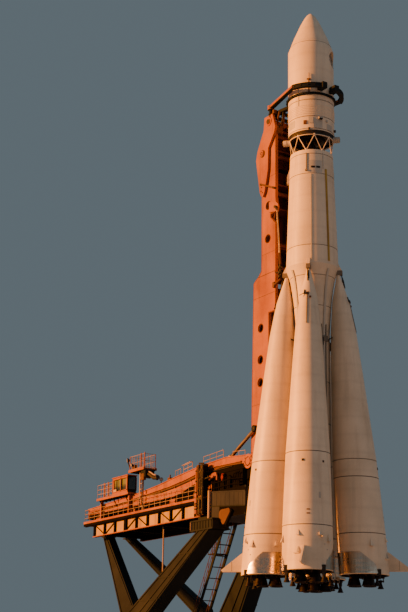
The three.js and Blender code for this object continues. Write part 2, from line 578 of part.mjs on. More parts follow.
function addStair() {
  const [top, foot] = [[-8.75, CROSSBEAM_BASE - GAP], [-15.2, FLOOR + GAP]];
  const slope = (top[1] - foot[1]) / (top[0] - foot[0]);
  const stringers = [-0.5, 0.42].map((y) => plate([[top[0], top[1]], [top[0] - 0.25, top[1]],
    [foot[0] - 0.25, foot[1]], [foot[0], foot[1]]], y, y + 0.08));
  const treads = [];
  for (let z = FLOOR + 0.7; z < top[1] - 0.4; z += 0.7) {
    const x = foot[0] + (z - foot[1]) / slope - 0.12;
    treads.push(block([x - 0.15, x + 0.15], [-0.45, 0.45], [z, z + 0.03]));
  }
  add('access_stair', 'dark_steel', join([...stringers, ...treads]));
}

addFairing();
addThirdStage();
addTruss();
addCore();
CORE_VERNIERS.forEach(addVernier);
for (const [letter, angle] of Object.entries(BOOSTERS)) addBooster(letter, angle);
addBoom();
addClampRing();
for (const [word, side] of SIDES) addJaw(`jaw_${word}`, side);
addCylinders();
addFrame();
addDeck();
addCabin();
addHighPlatform();
SIDES.forEach(addSupports);
addStair();

// The origin is the middle of the footprint, on the floor
const outline = new THREE.Box3().setFromObject(model);
const middle = outline.getCenter(new THREE.Vector3());
model.children.forEach((mesh) => mesh.geometry.translate(-middle.x, -middle.y, 0));

export default model;
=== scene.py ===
# The looks of a space rocket on its erector, a 1:2 scale model.
# Shapes are worked out in metres of the full-size launcher and placed in the model's frame:
# x from the platform to the rocket, y across the platform, z up from just under the engines.

import math
import random

import bpy
from mathutils import Matrix, Vector


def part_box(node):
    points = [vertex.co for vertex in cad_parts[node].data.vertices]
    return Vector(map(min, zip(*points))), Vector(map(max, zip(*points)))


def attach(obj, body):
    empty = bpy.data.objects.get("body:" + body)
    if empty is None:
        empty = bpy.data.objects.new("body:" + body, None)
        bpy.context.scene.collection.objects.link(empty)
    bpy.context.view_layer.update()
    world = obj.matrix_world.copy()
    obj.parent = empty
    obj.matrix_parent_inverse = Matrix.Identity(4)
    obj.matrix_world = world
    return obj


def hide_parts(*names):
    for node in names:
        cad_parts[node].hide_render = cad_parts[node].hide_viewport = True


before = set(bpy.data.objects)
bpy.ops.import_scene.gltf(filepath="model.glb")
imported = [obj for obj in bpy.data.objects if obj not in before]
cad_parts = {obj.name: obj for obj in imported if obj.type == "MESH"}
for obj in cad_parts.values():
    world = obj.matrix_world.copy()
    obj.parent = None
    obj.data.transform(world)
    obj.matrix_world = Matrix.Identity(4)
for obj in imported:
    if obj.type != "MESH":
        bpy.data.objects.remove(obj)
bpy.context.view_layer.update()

SCALE = 0.5
FLOOR = -6.0
CORE_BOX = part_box("core_upper")
AXIS_X = (CORE_BOX[0].x + CORE_BOX[1].x) / 2
AXIS_Y = (CORE_BOX[0].y + CORE_BOX[1].y) / 2
ROCKET = "boom_and_rocket"
PLATFORM = "platform"
SIDES = (("left", -1), ("right", 1))


def place(point):
    """A point of the full-size launcher in the model's frame."""
    x, y, z = point
    return Vector((AXIS_X + x * SCALE, AXIS_Y + y * SCALE, (z - FLOOR) * SCALE))


def show(name, data):
    """A new object of the scene."""
    thing = bpy.data.objects.new(name, data)
    bpy.context.scene.collection.objects.link(thing)
    return thing


# Camera

CAMERA_AZIMUTH = 53.0
CAMERA_DISTANCE = 80.0
CAMERA_HEIGHT = 0.04
PITCH = 16.52
ROLL = 0.97
FOCAL_PIXELS = 1324.0
PHOTO_WIDTH = 408
PHOTO_HEIGHT = 612
AXIS_PIXEL = 317.3
SENSOR = 36.0
FARTHEST = 500.0


def add_camera():
    data = bpy.data.cameras.new("camera")
    data.sensor_width = SENSOR
    data.lens = FOCAL_PIXELS / PHOTO_HEIGHT * SENSOR
    data.clip_end = FARTHEST
    camera = show("camera", data)
    azimuth = math.radians(CAMERA_AZIMUTH)
    ahead = Vector((-math.sin(azimuth), math.cos(azimuth), 0.0))
    stand = place((0, 0, FLOOR)) - ahead * CAMERA_DISTANCE * SCALE
    stand.z = CAMERA_HEIGHT
    yaw = math.atan((AXIS_PIXEL - PHOTO_WIDTH / 2) / FOCAL_PIXELS)
    level = Matrix.Rotation(yaw, 3, "Z") @ ahead
    pitch = math.radians(PITCH)
    forward = level * math.cos(pitch) + Vector((0, 0, math.sin(pitch)))
    turn = (-forward).to_track_quat("Z", "Y").to_matrix()
    turn = turn @ Matrix.Rotation(math.radians(ROLL), 3, "Z")
    camera.matrix_world = Matrix.Translation(stand) @ turn.to_4x4()
    bpy.context.scene.camera = camera


# Measures

GAP = 0.001
TINY = 1e-6
CREASE = 32.0
ROUND = 96
SUNK = 0.02
LADDER_RAIL_R = 0.028
RUNG_R = 0.02
UP_X, UP_Y, UP_Z = (1, 0, 0), (0, 1, 0), (0, 0, 1)


def circle(count, start=0.0):
    """Cosine and sine of evenly spaced angles."""
    angles = [start + 2 * math.pi * k / count for k in range(count)]
    return [(math.cos(t), math.sin(t)) for t in angles]


def spaced(start, gap, count):
    return [start + gap * i for i in range(count)]


def spin(point, degrees):
    """A point turned about the launcher's axis."""
    if not degrees:
        return tuple(point)
    c, s = math.cos(math.radians(degrees)), math.sin(math.radians(degrees))
    x, y, z = point
    return (x * c - y * s, x * s + y * c, z)


def spoke(angle, *rows):
    """Points at an angle about the launcher's axis, from rows of radius and height."""
    return [spin((r, 0, z), angle) for r, z in rows]


def washer(inner, outer, low, high):
    """The four corners of a ring's section."""
    return [(inner, low), (outer, low), (outer, high), (inner, high)]


def moved(x, y=0.0):
    return lambda p: (p[0] + x, p[1] + y, p[2])


def between(rows, at):
    """The value at a place, in rows of place and value."""
    rows = sorted(rows)
    if at <= rows[0][0]:
        return rows[0][1]
    for (a0, b0), (a1, b1) in zip(rows, rows[1:]):
        if at <= a1:
            return b0 + (b1 - b0) * (at - a0) / max(a1 - a0, 1e-9)
    return rows[-1][1]


def runs_left(outline):
    """True where an outline runs anticlockwise."""
    ends = zip(outline, [*outline[1:], outline[0]])
    return sum(a[0] * b[1] - b[0] * a[1] for a, b in ends) > 0


# Meshes: bodies gathered from simple closed shapes


class Body:
    """Points and faces of one piece, each face with the number of its material.

    Boxes, bars, and the prisms and rings that lie along y are mirrored while side is -1.
    """

    def __init__(self):
        self.points, self.faces, self.slots = [], [], []
        self.side = 1

    def put(self, points, faces, slot=0):
        start = len(self.points)
        self.points.extend(points)
        self.faces.extend(tuple(start + i for i in face) for face in faces)
        self.slots.extend([slot] * len(faces) if isinstance(slot, int) else slot)

    def across(self, *ys):
        return sorted(self.side * y for y in ys)

    def on_side(self, points):
        return [Vector((x, self.side * y, z)) for x, y, z in points]

    def turn(self, degrees, start=0):
        """Turns the points from a number onwards about the launcher's axis."""
        self.points[start:] = [spin(p, degrees) for p in self.points[start:]]

    def loft(self, rings, slot=0, closed=False, flip=False):
        """Joins each ring of points to the next one."""
        sides, count = len(rings[0]), len(rings)
        faces = []
        for i in range(count if closed else count - 1):
            near, far = i * sides, (i + 1) % count * sides
            for k in range(sides):
                m = (k + 1) % sides
                faces.append((near + k, near + m, far + m, far + k))
        if not closed:
            last = (count - 1) * sides
            faces += [tuple(range(sides))[::-1], tuple(range(last, last + sides))]
        if flip:
            faces = [face[::-1] for face in faces]
        self.put([p for ring in rings for p in ring], faces, slot)

    def box(self, x, y, z, slot=0, turn=0.0):
        (x0, x1), (y0, y1) = x, self.across(*y)
        base = ((x0, y0), (x1, y0), (x1, y1), (x0, y1))
        self.loft([[spin((*p, level), turn) for p in base] for level in z], slot)

    def prism(self, outline, low, high, slot=0, axis="y", turn=0.0):
        """An outline drawn across the named axis, from low to high along it."""
        i = "xyz".index(axis)
        if i == 1:
            low, high = self.across(low, high)
        rings = [[spin((*p[:i], c, *p[i:]), turn) for p in outline] for c in (low, high)]
        self.loft(rings, slot, flip=runs_left(outline) == (i == 1))

    def tube(self, path, radius, slot=0, sides=8, closed=False):
        """A round bar along a path."""
        path = self.on_side(path)
        count = len(path)
        radii = radius if isinstance(radius, list) else [radius] * count
        rings, normal = [], None
        for i, here in enumerate(path):
            if closed:
                along = path[(i + 1) % count] - path[i - 1]
            else:
                along = path[min(i + 1, count - 1)] - path[max(i - 1, 0)]
            along.normalize()
            if normal is None:
                normal = along.orthogonal().normalized()
            normal = (normal - along * normal.dot(along)).normalized()
            other = along.cross(normal)
            rings.append([here + (normal * c + other * s) * radii[i] for c, s in circle(sides)])
        self.loft(rings, slot, closed)

    def beam(self, start, end, width, depth, slot=0, up=UP_Z):
        """A rectangular bar between two points. Its depth lies towards up."""
        a, b = self.on_side((start, end))
        along = (b - a).normalized()
        side = along.cross(Vector(up))
        side = side.normalized() if side.length > TINY else along.orthogonal().normalized()
        rise = side.cross(along)
        corners = ((-1, -1), (1, -1), (1, 1), (-1, 1))
        rings = [[p + side * s * width / 2 + rise * r * depth / 2 for s, r in corners]
                 for p in (a, b)]
        self.loft(rings, slot, flip=True)

    def beams(self, path, width, depth, slot=0, y=0.0, lift=0.0):
        """Bars along the lines of a path of x and z."""
        for (x0, z0), (x1, z1) in zip(path, path[1:]):
            self.beam((x0, y, z0 + lift), (x1, y, z1 + lift), width, depth, slot)

    def boxes(self, *rows):
        for row in rows:
            self.box(*row)

    def tubes(self, *rows):
        for row in rows:
            self.tube(*row)

    def lathe(self, profile, sides=72, slots=0, shape=None):
        """A turned body from rows of radius and height. shape moves the points afterwards."""
        points, faces, kinds, rings = [], [], [], []
        for radius, z in profile:
            ring = [(radius * c, radius * s, z) for c, s in circle(sides if radius > TINY else 1)]
            rings.append(range(len(points), len(points) + len(ring)))
            points += ring
        pairs = list(zip(rings, rings[1:]))
        if len(rings[0]) > 1:
            pairs.append((rings[-1], rings[0]))
        for number, (low, high) in enumerate(pairs):
            kind = slots if isinstance(slots, int) else slots[number % len(slots)]
            for k in range(sides):
                m = (k + 1) % sides
                corners = [ring[i % len(ring)] for ring, i in
                           ((low, k), (low, m), (high, m), (high, k))]
                face = tuple(dict.fromkeys(corners))
                if len(face) > 2:
                    faces.append(face)
                    kinds.append(kind)
        if not runs_left(profile):
            faces = [face[::-1] for face in faces]
        self.put([shape(p) for p in points] if shape else points, faces, kinds)

    def band(self, inner, outer, low, high, slot=0, sides=72, shape=None):
        """A flat ring about z."""
        self.lathe(washer(inner, outer, low, high), sides, slot, shape)

    def ring(self, x, z, inner, outer, low, high, slot=0, sides=28):
        """A flat ring that faces along y."""
        section = washer(inner, outer, *self.across(low, high))
        self.loft([[(x + r * c, y, z + r * s) for r, y in section] for c, s in circle(sides)],
                  slot, True)

    def side_ring(self, angle, z, inner, outer, low, high, slot=0, sides=40):
        """A flat ring that faces away from the rocket's axis."""
        section = washer(inner, outer, low, high)
        self.loft([[spin((reach, r * c, z + r * s), angle) for r, reach in section]
                   for c, s in circle(sides)], slot, True)

    def side_disc(self, angle, z, radius, inner, outer, slot=0, sides=40, shift=0.0):
        """A disc that faces away from the rocket's axis."""
        ends = [spin((reach, shift, z), angle) for reach in (inner, outer)]
        self.tube(ends, radius, slot, sides)

    def ladder(self, foot, top, width, spacing, slot=0):
        """Two rails with rungs."""
        foot, top = Vector(foot), Vector(top)
        half = Vector((0, width / 2, 0))
        for shift in (-half, half):
            self.tube([foot + shift, top + shift], LADDER_RAIL_R, slot)
        count = int((top - foot).length / spacing)
        for i in range(count):
            at = foot + (top - foot) * (i + 0.5) / count
            self.tube([at - half, at + half], RUNG_R, slot, 6)

    def railing(self, path, height, spacing, rails, slot, thick):
        """Posts with rails along a path on a floor."""
        path = [Vector(p) for p in path]
        for share in rails:
            self.tube([p + Vector((0, 0, height * share)) for p in path], thick, slot, 6)
        posts = path[-1:]
        for a, b in zip(path, path[1:]):
            count = max(1, round((b - a).length / spacing))
            posts += [a + (b - a) * i / count for i in range(count)]
        for at in posts:
            self.tube([at, at + Vector((0, 0, height))], thick, slot, 6)

    def floodlight(self, at, aim, glass_slot, size, shell_slot=2):
        """A lamp with a dished front on a bracket."""
        aim, at = Vector(aim).normalized(), Vector(at)
        self.tube([at + aim * size * f for f in (-0.9, -0.4, 0, 0.25)],
                  [size * f for f in (0.35, 0.8, 1, 1.05)], shell_slot, 20)
        self.tube([at + aim * size * f for f in (0.22, 0.29)], size * 0.92, glass_slot, 20)
        back = at - aim * size * 0.3
        self.tube([back, back - Vector((0, 0, size * 1.3))], size * 0.14, shell_slot)


def mesh_of(name, body):
    mesh = bpy.data.meshes.new(name)
    mesh.from_pydata([place(p) for p in body.points], [], body.faces)
    return mesh


def smooth(mesh, crease=CREASE):
    mesh.polygons.foreach_set("use_smooth", [True] * len(mesh.polygons))
    mesh.set_sharp_from_angle(angle=math.radians(crease))


def make(name, body, paints, rides, replaced=(), crease=CREASE):
    """Turns a Body into an object of the scene that rides on a body of the model."""
    mesh = mesh_of(name, body)
    for paint in paints:
        mesh.materials.append(paint.material)
    mesh.polygons.foreach_set("material_index", body.slots)
    smooth(mesh, crease)
    mesh.update()
    piece = show(name, mesh)
    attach(piece, rides)
    if replaced:
        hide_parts(*replaced)
    return piece


def drill(piece, body):
    """Cuts a closed body out of a piece for good."""
    mesh = mesh_of("cutter", body)
    cutter = show("cutter", mesh)
    step = piece.modifiers.new("cut", "BOOLEAN")
    step.operation = "DIFFERENCE"
    step.solver = "EXACT"
    step.object = cutter
    graph = bpy.context.evaluated_depsgraph_get()
    result = bpy.data.meshes.new_from_object(piece.evaluated_get(graph))
    piece.modifiers.clear()
    old, piece.data = piece.data, result
    bpy.data.objects.remove(cutter)
    for spent in (old, mesh):
        bpy.data.meshes.remove(spent)
    smooth(result)


class Surface:
    """The outside of a turned body of the rocket: the core, or a leaning booster."""

    def __init__(self, profile, axis=None, turn=0.0):
        self.profile = [(z, r) for r, z in profile]
        self.axis = axis or (lambda z: 0.0)
        self.turn = turn

    def radius(self, z):
        return between(self.profile, z)

    def at(self, angle, z, lift=0.0):
        """A point over the surface. The angle is counted about the body's own axis."""
        r = self.radius(z) + lift
        t = math.radians(angle)
        return spin((r * math.cos(t) + self.axis(z), r * math.sin(t), z), self.turn)

    def plate(self, body, angle, z, width, height, thick, slot=0):
        """A plate that follows the surface round."""
        half = math.degrees(width / 2 / self.radius(z))
        steps = max(2, int(half / 3))
        section = washer(-1, 1, -SUNK, thick)
        body.loft([[self.at(angle - half + 2 * half * i / steps, z + level * height / 2, lift)
                    for level, lift in section] for i in range(steps + 1)], slot, flip=True)

    def duct(self, body, angle, low, high, width, thick, slot=0, steps=24):
        """A narrow duct that follows the surface up."""
        rings = []
        for i in range(steps + 1):
            z = low + (high - low) * i / steps
            half = math.degrees(width / 2 / self.radius(z))
            section = washer(-half, half, -SUNK, thick)
            rings.append([self.at(angle + turn, z, lift) for turn, lift in section])
        body.loft(rings, slot)

    def wedge(self, body, angle, z, width, height, thick, slot=0):
        """A lug that stands out at its foot and runs into the surface at its top."""
        half = math.degrees(width / 2 / self.radius(z))
        ends = ((z, half, thick), (z + height, half * 0.3, 0.01))
        body.loft([[self.at(angle + turn, level, lift) for turn, lift in washer(-h, h, -0.03, top)]
                   for level, h, top in ends], slot)

    def plates(self, body, *rows):
        for row in rows:
            self.plate(body, *row)

    def ducts(self, body, *rows):
        for row in rows:
            self.duct(body, *row)


# Materials


class Paint:
    """A node material that is built up from the object's own coordinates."""

    def __init__(self, name, color, roughness, metallic=0.0):
        self.material = bpy.data.materials.new(name)
        self.material.use_nodes = True
        self.material.diffuse_color = (*color, 1)
        self.tree = self.material.node_tree
        self.shader = self.tree.nodes["Principled BSDF"]
        self.set(self.shader, Base_Color=color, Roughness=roughness, Metallic=metallic)
        self.place = self.add("ShaderNodeTexCoord").outputs["Object"]

    def feed(self, target, value):
        """Gives a socket a number, a colour or what another node puts out."""
        if isinstance(value, bpy.types.NodeSocket):
            self.tree.links.new(value, target)
        elif isinstance(value, tuple) and len(target.default_value) > len(value):
            target.default_value = (*value, 1)
        else:
            target.default_value = value

    def set(self, node, **values):
        for key, value in values.items():
            if hasattr(node, key):
                setattr(node, key, value)
            else:
                self.feed(node.inputs[key.replace("_", " ")], value)
        return node

    def add(self, kind, **values):
        return self.set(self.tree.nodes.new(kind), **values)

    def noise(self, scale, detail=4.0, stretch=(1, 1, 1), offset=0.0):
        mapping = self.add("ShaderNodeMapping", Scale=stretch, Location=(offset,) * 3,
                           Vector=self.place)
        return self.add("ShaderNodeTexNoise", Scale=scale, Detail=detail, Roughness=0.55,
                        Vector=mapping.outputs["Vector"]).outputs["Fac"]

    def ramp(self, factor, *stops):
        node = self.add("ShaderNodeValToRGB", Fac=factor)
        elements = node.color_ramp.elements
        while len(elements) < len(stops):
            elements.new(0.5)
        for element, (at, color) in zip(elements, stops):
            element.position = at
            element.color = (*color, 1)
        return node.outputs["Color"]

    def grey(self, factor, low, high, start, end):
        return self.ramp(factor, (start, (low,) * 3), (end, (high,) * 3))

    def mix(self, factor, first, second, blend="MIX"):
        node = self.add("ShaderNodeMix", data_type="RGBA", blend_type=blend)
        for number, value in ((0, factor), (6, first), (7, second)):
            self.feed(node.inputs[number], value)
        return node.outputs[2]

    def multiply(self, first, second):
        return self.mix(1.0, first, second, "MULTIPLY")

    def math(self, operation, first, second):
        node = self.add("ShaderNodeMath", operation=operation)
        for target, value in zip(node.inputs, (first, second)):
            self.feed(target, value)
        return node.outputs[0]

    def height(self):
        return self.add("ShaderNodeSeparateXYZ", Vector=self.place).outputs["Z"]

    def lines(self, coordinate, spacing, width):
        """1 on thin lines across a coordinate, 0 between them."""
        part = self.math("PINGPONG", coordinate, spacing / 2)
        return self.math("LESS_THAN", part, width / 2)

    def finish(self, color, roughness, *bumps):
        """Sets the shader's inputs. Bumps are height, strength and distance, one over the other."""
        self.set(self.shader, Base_Color=color, Roughness=roughness)
        normal = None
        for height, strength, distance in bumps:
            node = self.add("ShaderNodeBump", Strength=strength, Distance=distance, Height=height)
            if normal:
                self.set(node, Normal=normal)
            normal = node.outputs["Normal"]
        if normal:
            self.set(self.shader, Normal=normal)
        return self


def times(color, share):
    return tuple(min(1, c * share) for c in color)


def weathered(name, light, dark, stain, roughness, gloss=0.5, metallic=0.0, streaks=0.5):
    """Old paint: soft blotches, streaks that run down, and a slightly uneven surface."""
    paint = Paint(name, light, roughness, metallic)
    paint.set(paint.shader, Specular_IOR_Level=gloss)
    blotches = paint.noise(0.9, 6.0)
    streaky = paint.noise(3.2, 3.0, (1, 1, 0.12), 3.7)
    fine = paint.noise(28.0, 3.0)
    base = paint.ramp(blotches, (0.32, dark), (0.62, light))
    mask = paint.grey(streaky, 0.0, streaks, 0.52, 0.74)
    worn = paint.mix(mask, base, stain)
    specks = paint.grey(fine, 0.86, 1.0, 0.3, 0.55)
    return paint.finish(paint.multiply(worn, specks),
                        paint.grey(blotches, roughness + 0.1, roughness - 0.08, 0.3, 0.7),
                        (blotches, 0.25, 0.016), (fine, 0.3, 0.004))


def rocket_paint(name, spacing, light, dark, stain):
    """Pale paint over sheets that are joined at even heights, with grime under the joints."""
    paint = Paint(name, light, 0.5)
    z = paint.height()
    blotches = paint.noise(0.7, 7.0)
    streaky = paint.noise(4.0, 4.0, (1, 1, 0.07), 1.3)
    fine = paint.noise(34.0, 3.0)
    base = paint.ramp(blotches, (0.3, dark), (0.5, light), (0.72, times(light, 1.08)))
    mask = paint.grey(streaky, 0.0, 0.4, 0.5, 0.8)
    worn = paint.mix(mask, base, stain)
    joints = paint.lines(z, spacing, 0.012)
    bands = paint.math("PINGPONG", z, spacing / 2)
    grime = paint.grey(bands, 0.12, 0.0, 0.0, 0.08)
    worn = paint.mix(grime, worn, stain)
    specks = paint.grey(fine, 0.93, 1.0, 0.3, 0.6)
    return paint.finish(paint.multiply(worn, specks), paint.grey(streaky, 0.42, 0.62, 0.35, 0.75),
                        (blotches, 0.2, 0.02), (joints, 0.15, 0.002), (fine, 0.12, 0.002))


def bare_metal(name, color, rough_low, rough_high, spacing):
    """Polished sheet with pressed rings, heat tints and rubbed patches."""
    paint = Paint(name, color, rough_low, 1.0)
    z = paint.height()
    patches = paint.noise(2.2, 5.0)
    drawn = paint.noise(26.0, 2.0, (1, 1, 0.06), 2.1)
    tint = paint.ramp(patches, (0.3, times(color, 0.62)), (0.6, color))
    shade = paint.grey(drawn, 0.8, 1.0, 0.3, 0.6)
    sheet = paint.multiply(tint, shade)
    rubbed = paint.grey(patches, rough_high, rough_low, 0.35, 0.65)
    rings = paint.math("PINGPONG", z, spacing / 2)
    return paint.finish(sheet, rubbed, (rings, 0.5, 0.03), (drawn, 0.12, 0.002))


def engine_metal(name, color, tint, roughness):
    """Sooty metal with browned patches."""
    paint = Paint(name, color, roughness, 0.65)
    soot = paint.noise(3.4, 6.0)
    scale = paint.noise(22.0, 4.0, offset=5.1)
    base = paint.ramp(soot, (0.35, color), (0.58, tint), (0.75, color))
    shade = paint.grey(scale, 0.7, 1.0, 0.3, 0.65)
    return paint.finish(paint.multiply(base, shade),
                        paint.grey(scale, roughness + 0.2, roughness - 0.1, 0.3, 0.7),
                        (scale, 0.4, 0.004))


def concrete(name, light, dark):
    """Cast concrete with pores, cloudy patches and board marks."""
    paint = Paint(name, light, 0.85)
    clouds = paint.noise(0.9, 8.0)
    pores = paint.add("ShaderNodeTexVoronoi", Scale=38.0, Vector=paint.place)
    grain = paint.noise(60.0, 4.0)
    pits = paint.grey(pores.outputs["Distance"], 0.55, 1.0, 0.04, 0.16)
    boards = paint.lines(paint.height(), 0.3, 0.012)
    base = paint.ramp(clouds, (0.3, dark), (0.65, light))
    base = paint.multiply(base, pits)
    return paint.finish(paint.mix(paint.math("MULTIPLY", boards, 0.35), base, dark),
                        paint.grey(grain, 0.78, 0.95, 0.3, 0.7),
                        (clouds, 0.3, 0.03), (pits, 0.5, 0.004), (grain, 0.3, 0.002))


def window_glass(name, color, dark_below=None, clear_above=None):
    """Tinted panes with a little dirt, and darker low down where heights for it are given."""
    paint = Paint(name, color, 0.12)
    dirt = paint.noise(3.0, 5.0)
    tint = paint.ramp(dirt, (0.35, times(color, 0.55)), (0.7, color))
    if dark_below:
        rise = paint.add("ShaderNodeMapRange", From_Min=dark_below, From_Max=clear_above)
        paint.set(rise, Value=paint.height())
        tint = paint.mix(rise.outputs["Result"], times(color, 0.16), tint)
    paint.set(paint.shader, Coat_Weight=0.5)
    return paint.finish(tint, paint.grey(dirt, 0.08, 0.3, 0.4, 0.75))


# The cream is warmer than the paint itself: partly painted warm light.
WHITE = rocket_paint("white_paint", 0.55, (0.71, 0.60, 0.45), (0.60, 0.50, 0.36),
                     (0.36, 0.29, 0.21))
# The polished metal's golden tint is a painted reflection of warm surroundings.
METAL = bare_metal("bare_metal", (0.68, 0.58, 0.45), 0.2, 0.42, 0.14)
STEEL = bare_metal("pin_steel", (0.72, 0.70, 0.66), 0.12, 0.28, 0.4)
# The rod's golden bronze tint is partly a painted warm highlight.
ROD = bare_metal("rod_steel", (0.55, 0.40, 0.22), 0.16, 0.3, 0.4)
ENGINE = engine_metal("dark_engine", (0.006, 0.006, 0.006), (0.016, 0.008, 0.007), 0.5)
BLACK = engine_metal("black_fitting", (0.018, 0.016, 0.015), (0.05, 0.04, 0.035), 0.6)
CONCRETE = concrete("footing_grey", (0.42, 0.40, 0.36), (0.30, 0.285, 0.26))
GLASS = window_glass("cabin_glass", (0.20, 0.23, 0.045), 7.3, 7.42)
DARK_GLASS = window_glass("dark_glass", (0.012, 0.02, 0.014))
LAMP = window_glass("lamp_glass", (0.5, 0.47, 0.38))
SEAM, PLATE_GREY, ORANGE, RUST, OCHRE, GOLD, GREY, DARK, UMBER, SHADE_BLACK, PALE, VALVE = (
    weathered(*row) for row in (
        ("seam_grey", (0.20, 0.17, 0.13), (0.12, 0.10, 0.08), (0.07, 0.06, 0.05), 0.7),
        ("plate_grey", (0.50, 0.47, 0.40), (0.40, 0.38, 0.33), (0.26, 0.24, 0.20), 0.55),
        ("orange_steel", (0.34, 0.105, 0.024), (0.24, 0.068, 0.018), (0.08, 0.026, 0.010), 0.6,
         0.2),
        ("brown_steel", (0.11, 0.040, 0.016), (0.065, 0.026, 0.012), (0.03, 0.015, 0.009), 0.7,
         0.25),
        ("ochre_panel", (0.46, 0.30, 0.05), (0.35, 0.21, 0.035), (0.16, 0.08, 0.015), 0.6, 0.25,
         0.0, 0.7),
        ("golden_paint", (0.58, 0.36, 0.08), (0.44, 0.25, 0.05), (0.16, 0.08, 0.025), 0.38, 0.5,
         0.25),
        # Grey steel darkened and cooled: partly painted shade, as on the pedestal.
        ("grey_steel", (0.027, 0.033, 0.055), (0.020, 0.025, 0.040), (0.018, 0.018, 0.018), 0.75,
         0.15),
        # Dark steel made darker still: partly painted shade, as for legs standing in shadow.
        ("dark_steel", (0.006, 0.011, 0.014), (0.0045, 0.0085, 0.011), (0.004, 0.006, 0.008), 0.75,
         0.2),
        ("shaded_steel", (0.10, 0.028, 0.012), (0.06, 0.018, 0.009), (0.025, 0.010, 0.006), 0.75,
         0.15),
        # Near-black that stands for shade: painted shade in gaps, hollows and undersides.
        ("sooty_steel", (0.006, 0.005, 0.004), (0.004, 0.0035, 0.003), (0.003, 0.0025, 0.002), 0.9,
         0.05),
        ("pale_rail", (0.42, 0.30, 0.22), (0.28, 0.19, 0.14), (0.14, 0.08, 0.06), 0.6, 0.3),
        ("red_valve", (0.20, 0.014, 0.010), (0.12, 0.010, 0.008), (0.05, 0.01, 0.008), 0.7, 0.1),
    ))


def wear(node, *paints, rule=None):
    """Gives a node of the solid model its materials. The rule picks the one of each face."""
    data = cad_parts[node].data
    data.materials.clear()
    for paint in paints:
        data.materials.append(paint.material)
    for face in data.polygons if rule else ():
        face.material_index = int(rule(face.center, face.normal))


# Rocket: driving dimensions

STAGE_R = 1.5
TIP = 38.3
NOSE_SEAM = 36.3
SHROUD_TOP = 35.3
FAIRING_BASE = 32.45
STAGE_BASE = 29.1
CORE_TOP = 27.8
SHOULDER = 20.2
SHOULDER_R = 1.66
CORE_TOP_R = 1.39
BOOSTERS = {"a": -45, "b": 45, "c": 135, "d": -135}
BOOSTER_AXIS = 2.95
LEAN = 0.07
RIM = 1.15
RIM_R = 1.47
TAIL_TOP = 3.6
BOOSTER_TIP = 19.77
NOSE_ROWS = [(0.72, 37.3), (0.37, 37.97), (0.12, 38.26)]
WAIST_ROWS = [(1.06, 16), (1.14, 17.2), (1.2, 18), (1.3, 18.8), (1.4, 19.4), (SHOULDER_R, SHOULDER)]
CORE = Surface([(1.2, 1.0), (1.2, 2.6), (1.06, 2.61), *WAIST_ROWS, (CORE_TOP_R, CORE_TOP),
                (1.33, 28.0), (1.4, 29.09), (STAGE_R, 29.22), (STAGE_R, SHROUD_TOP),
                (1.14, NOSE_SEAM), *NOSE_ROWS])
BOOSTER_ROWS = [(RIM_R, RIM), (1.46, TAIL_TOP), (1.4, 5.5), (1.32, 7.9), (1.2, 9.75), (0.99, 13.1),
                (0.8, 15.9), (0.53, 18.0), (0.1, BOOSTER_TIP)]


def booster_axis(z):
    return BOOSTER_AXIS - LEAN * (z - RIM)


def seamed(surface, rows, seams, width, depth):
    """Profile rows with a groove at each seam, and the material number of each band."""
    points = [(r, z, 0) for r, z in sorted(rows, key=lambda row: row[1])]
    for seam in seams:
        r, lip, bed = surface.radius(seam), width / 2, width * 0.35
        points += [(r, seam - lip, 1), (r - depth, seam - bed, 1), (r - depth, seam + bed, 1),
                   (r, seam + lip, 0)]
    points.sort(key=lambda row: row[1])
    return [(r, z) for r, z, _ in points], [kind for _, _, kind in points]


def skin(body, start, bands, end, first=0, last=0, shape=None):
    """Turns seamed rows between the rows that close them."""
    profile, kinds = bands
    kinds = [first] * len(start) + kinds + [last] * len(end)
    body.lathe(start + profile + end, ROUND, kinds, shape)


HATCH = (40.0, 34.62)
HATCH_R = 0.6


def build_fairing():
    """Nose cone and shroud, with the round hatch on one side."""
    rows = [(STAGE_R, FAIRING_BASE), (STAGE_R, SHROUD_TOP), (1.14, NOSE_SEAM), (0.93, 36.8),
            (0.55, 37.64), (0.25, 38.13), *NOSE_ROWS]
    body = Body()
    skin(body, [(0, FAIRING_BASE)], seamed(CORE, rows, [35.62], 0.025, 0.01), [(0, TIP)])
    shell = make("fairing_skin", body, (WHITE, SEAM), ROCKET, ("fairing_nose", "fairing_shroud"))
    cut = Body()
    cut.side_disc(*HATCH, HATCH_R, 1.2, 1.9)
    drill(shell, cut)
    hatch = Body()
    hatch.side_disc(*HATCH, HATCH_R - 0.02, 1.12, 1.25)
    hatch.side_ring(*HATCH, HATCH_R - 0.1, HATCH_R - 0.02, 1.24, 1.34, 1)
    hatch.side_ring(*HATCH, 0.2, 0.26, 1.24, 1.3, 1)
    angle, middle = HATCH
    for c, s in circle(12):
        hatch.side_disc(angle, middle + 0.5 * s, 0.025, 1.33, 1.37, 2, 8, 0.5 * c)
    for c, s in circle(4)[:2]:
        ends = [(1.28, end * c, middle + end * s) for end in (-0.42, 0.42)]
        hatch.tube([spin(p, angle) for p in ends], 0.03, 1)
    make("hatch", hatch, (ENGINE, PLATE_GREY, METAL), ROCKET, ("hatch_cover",))


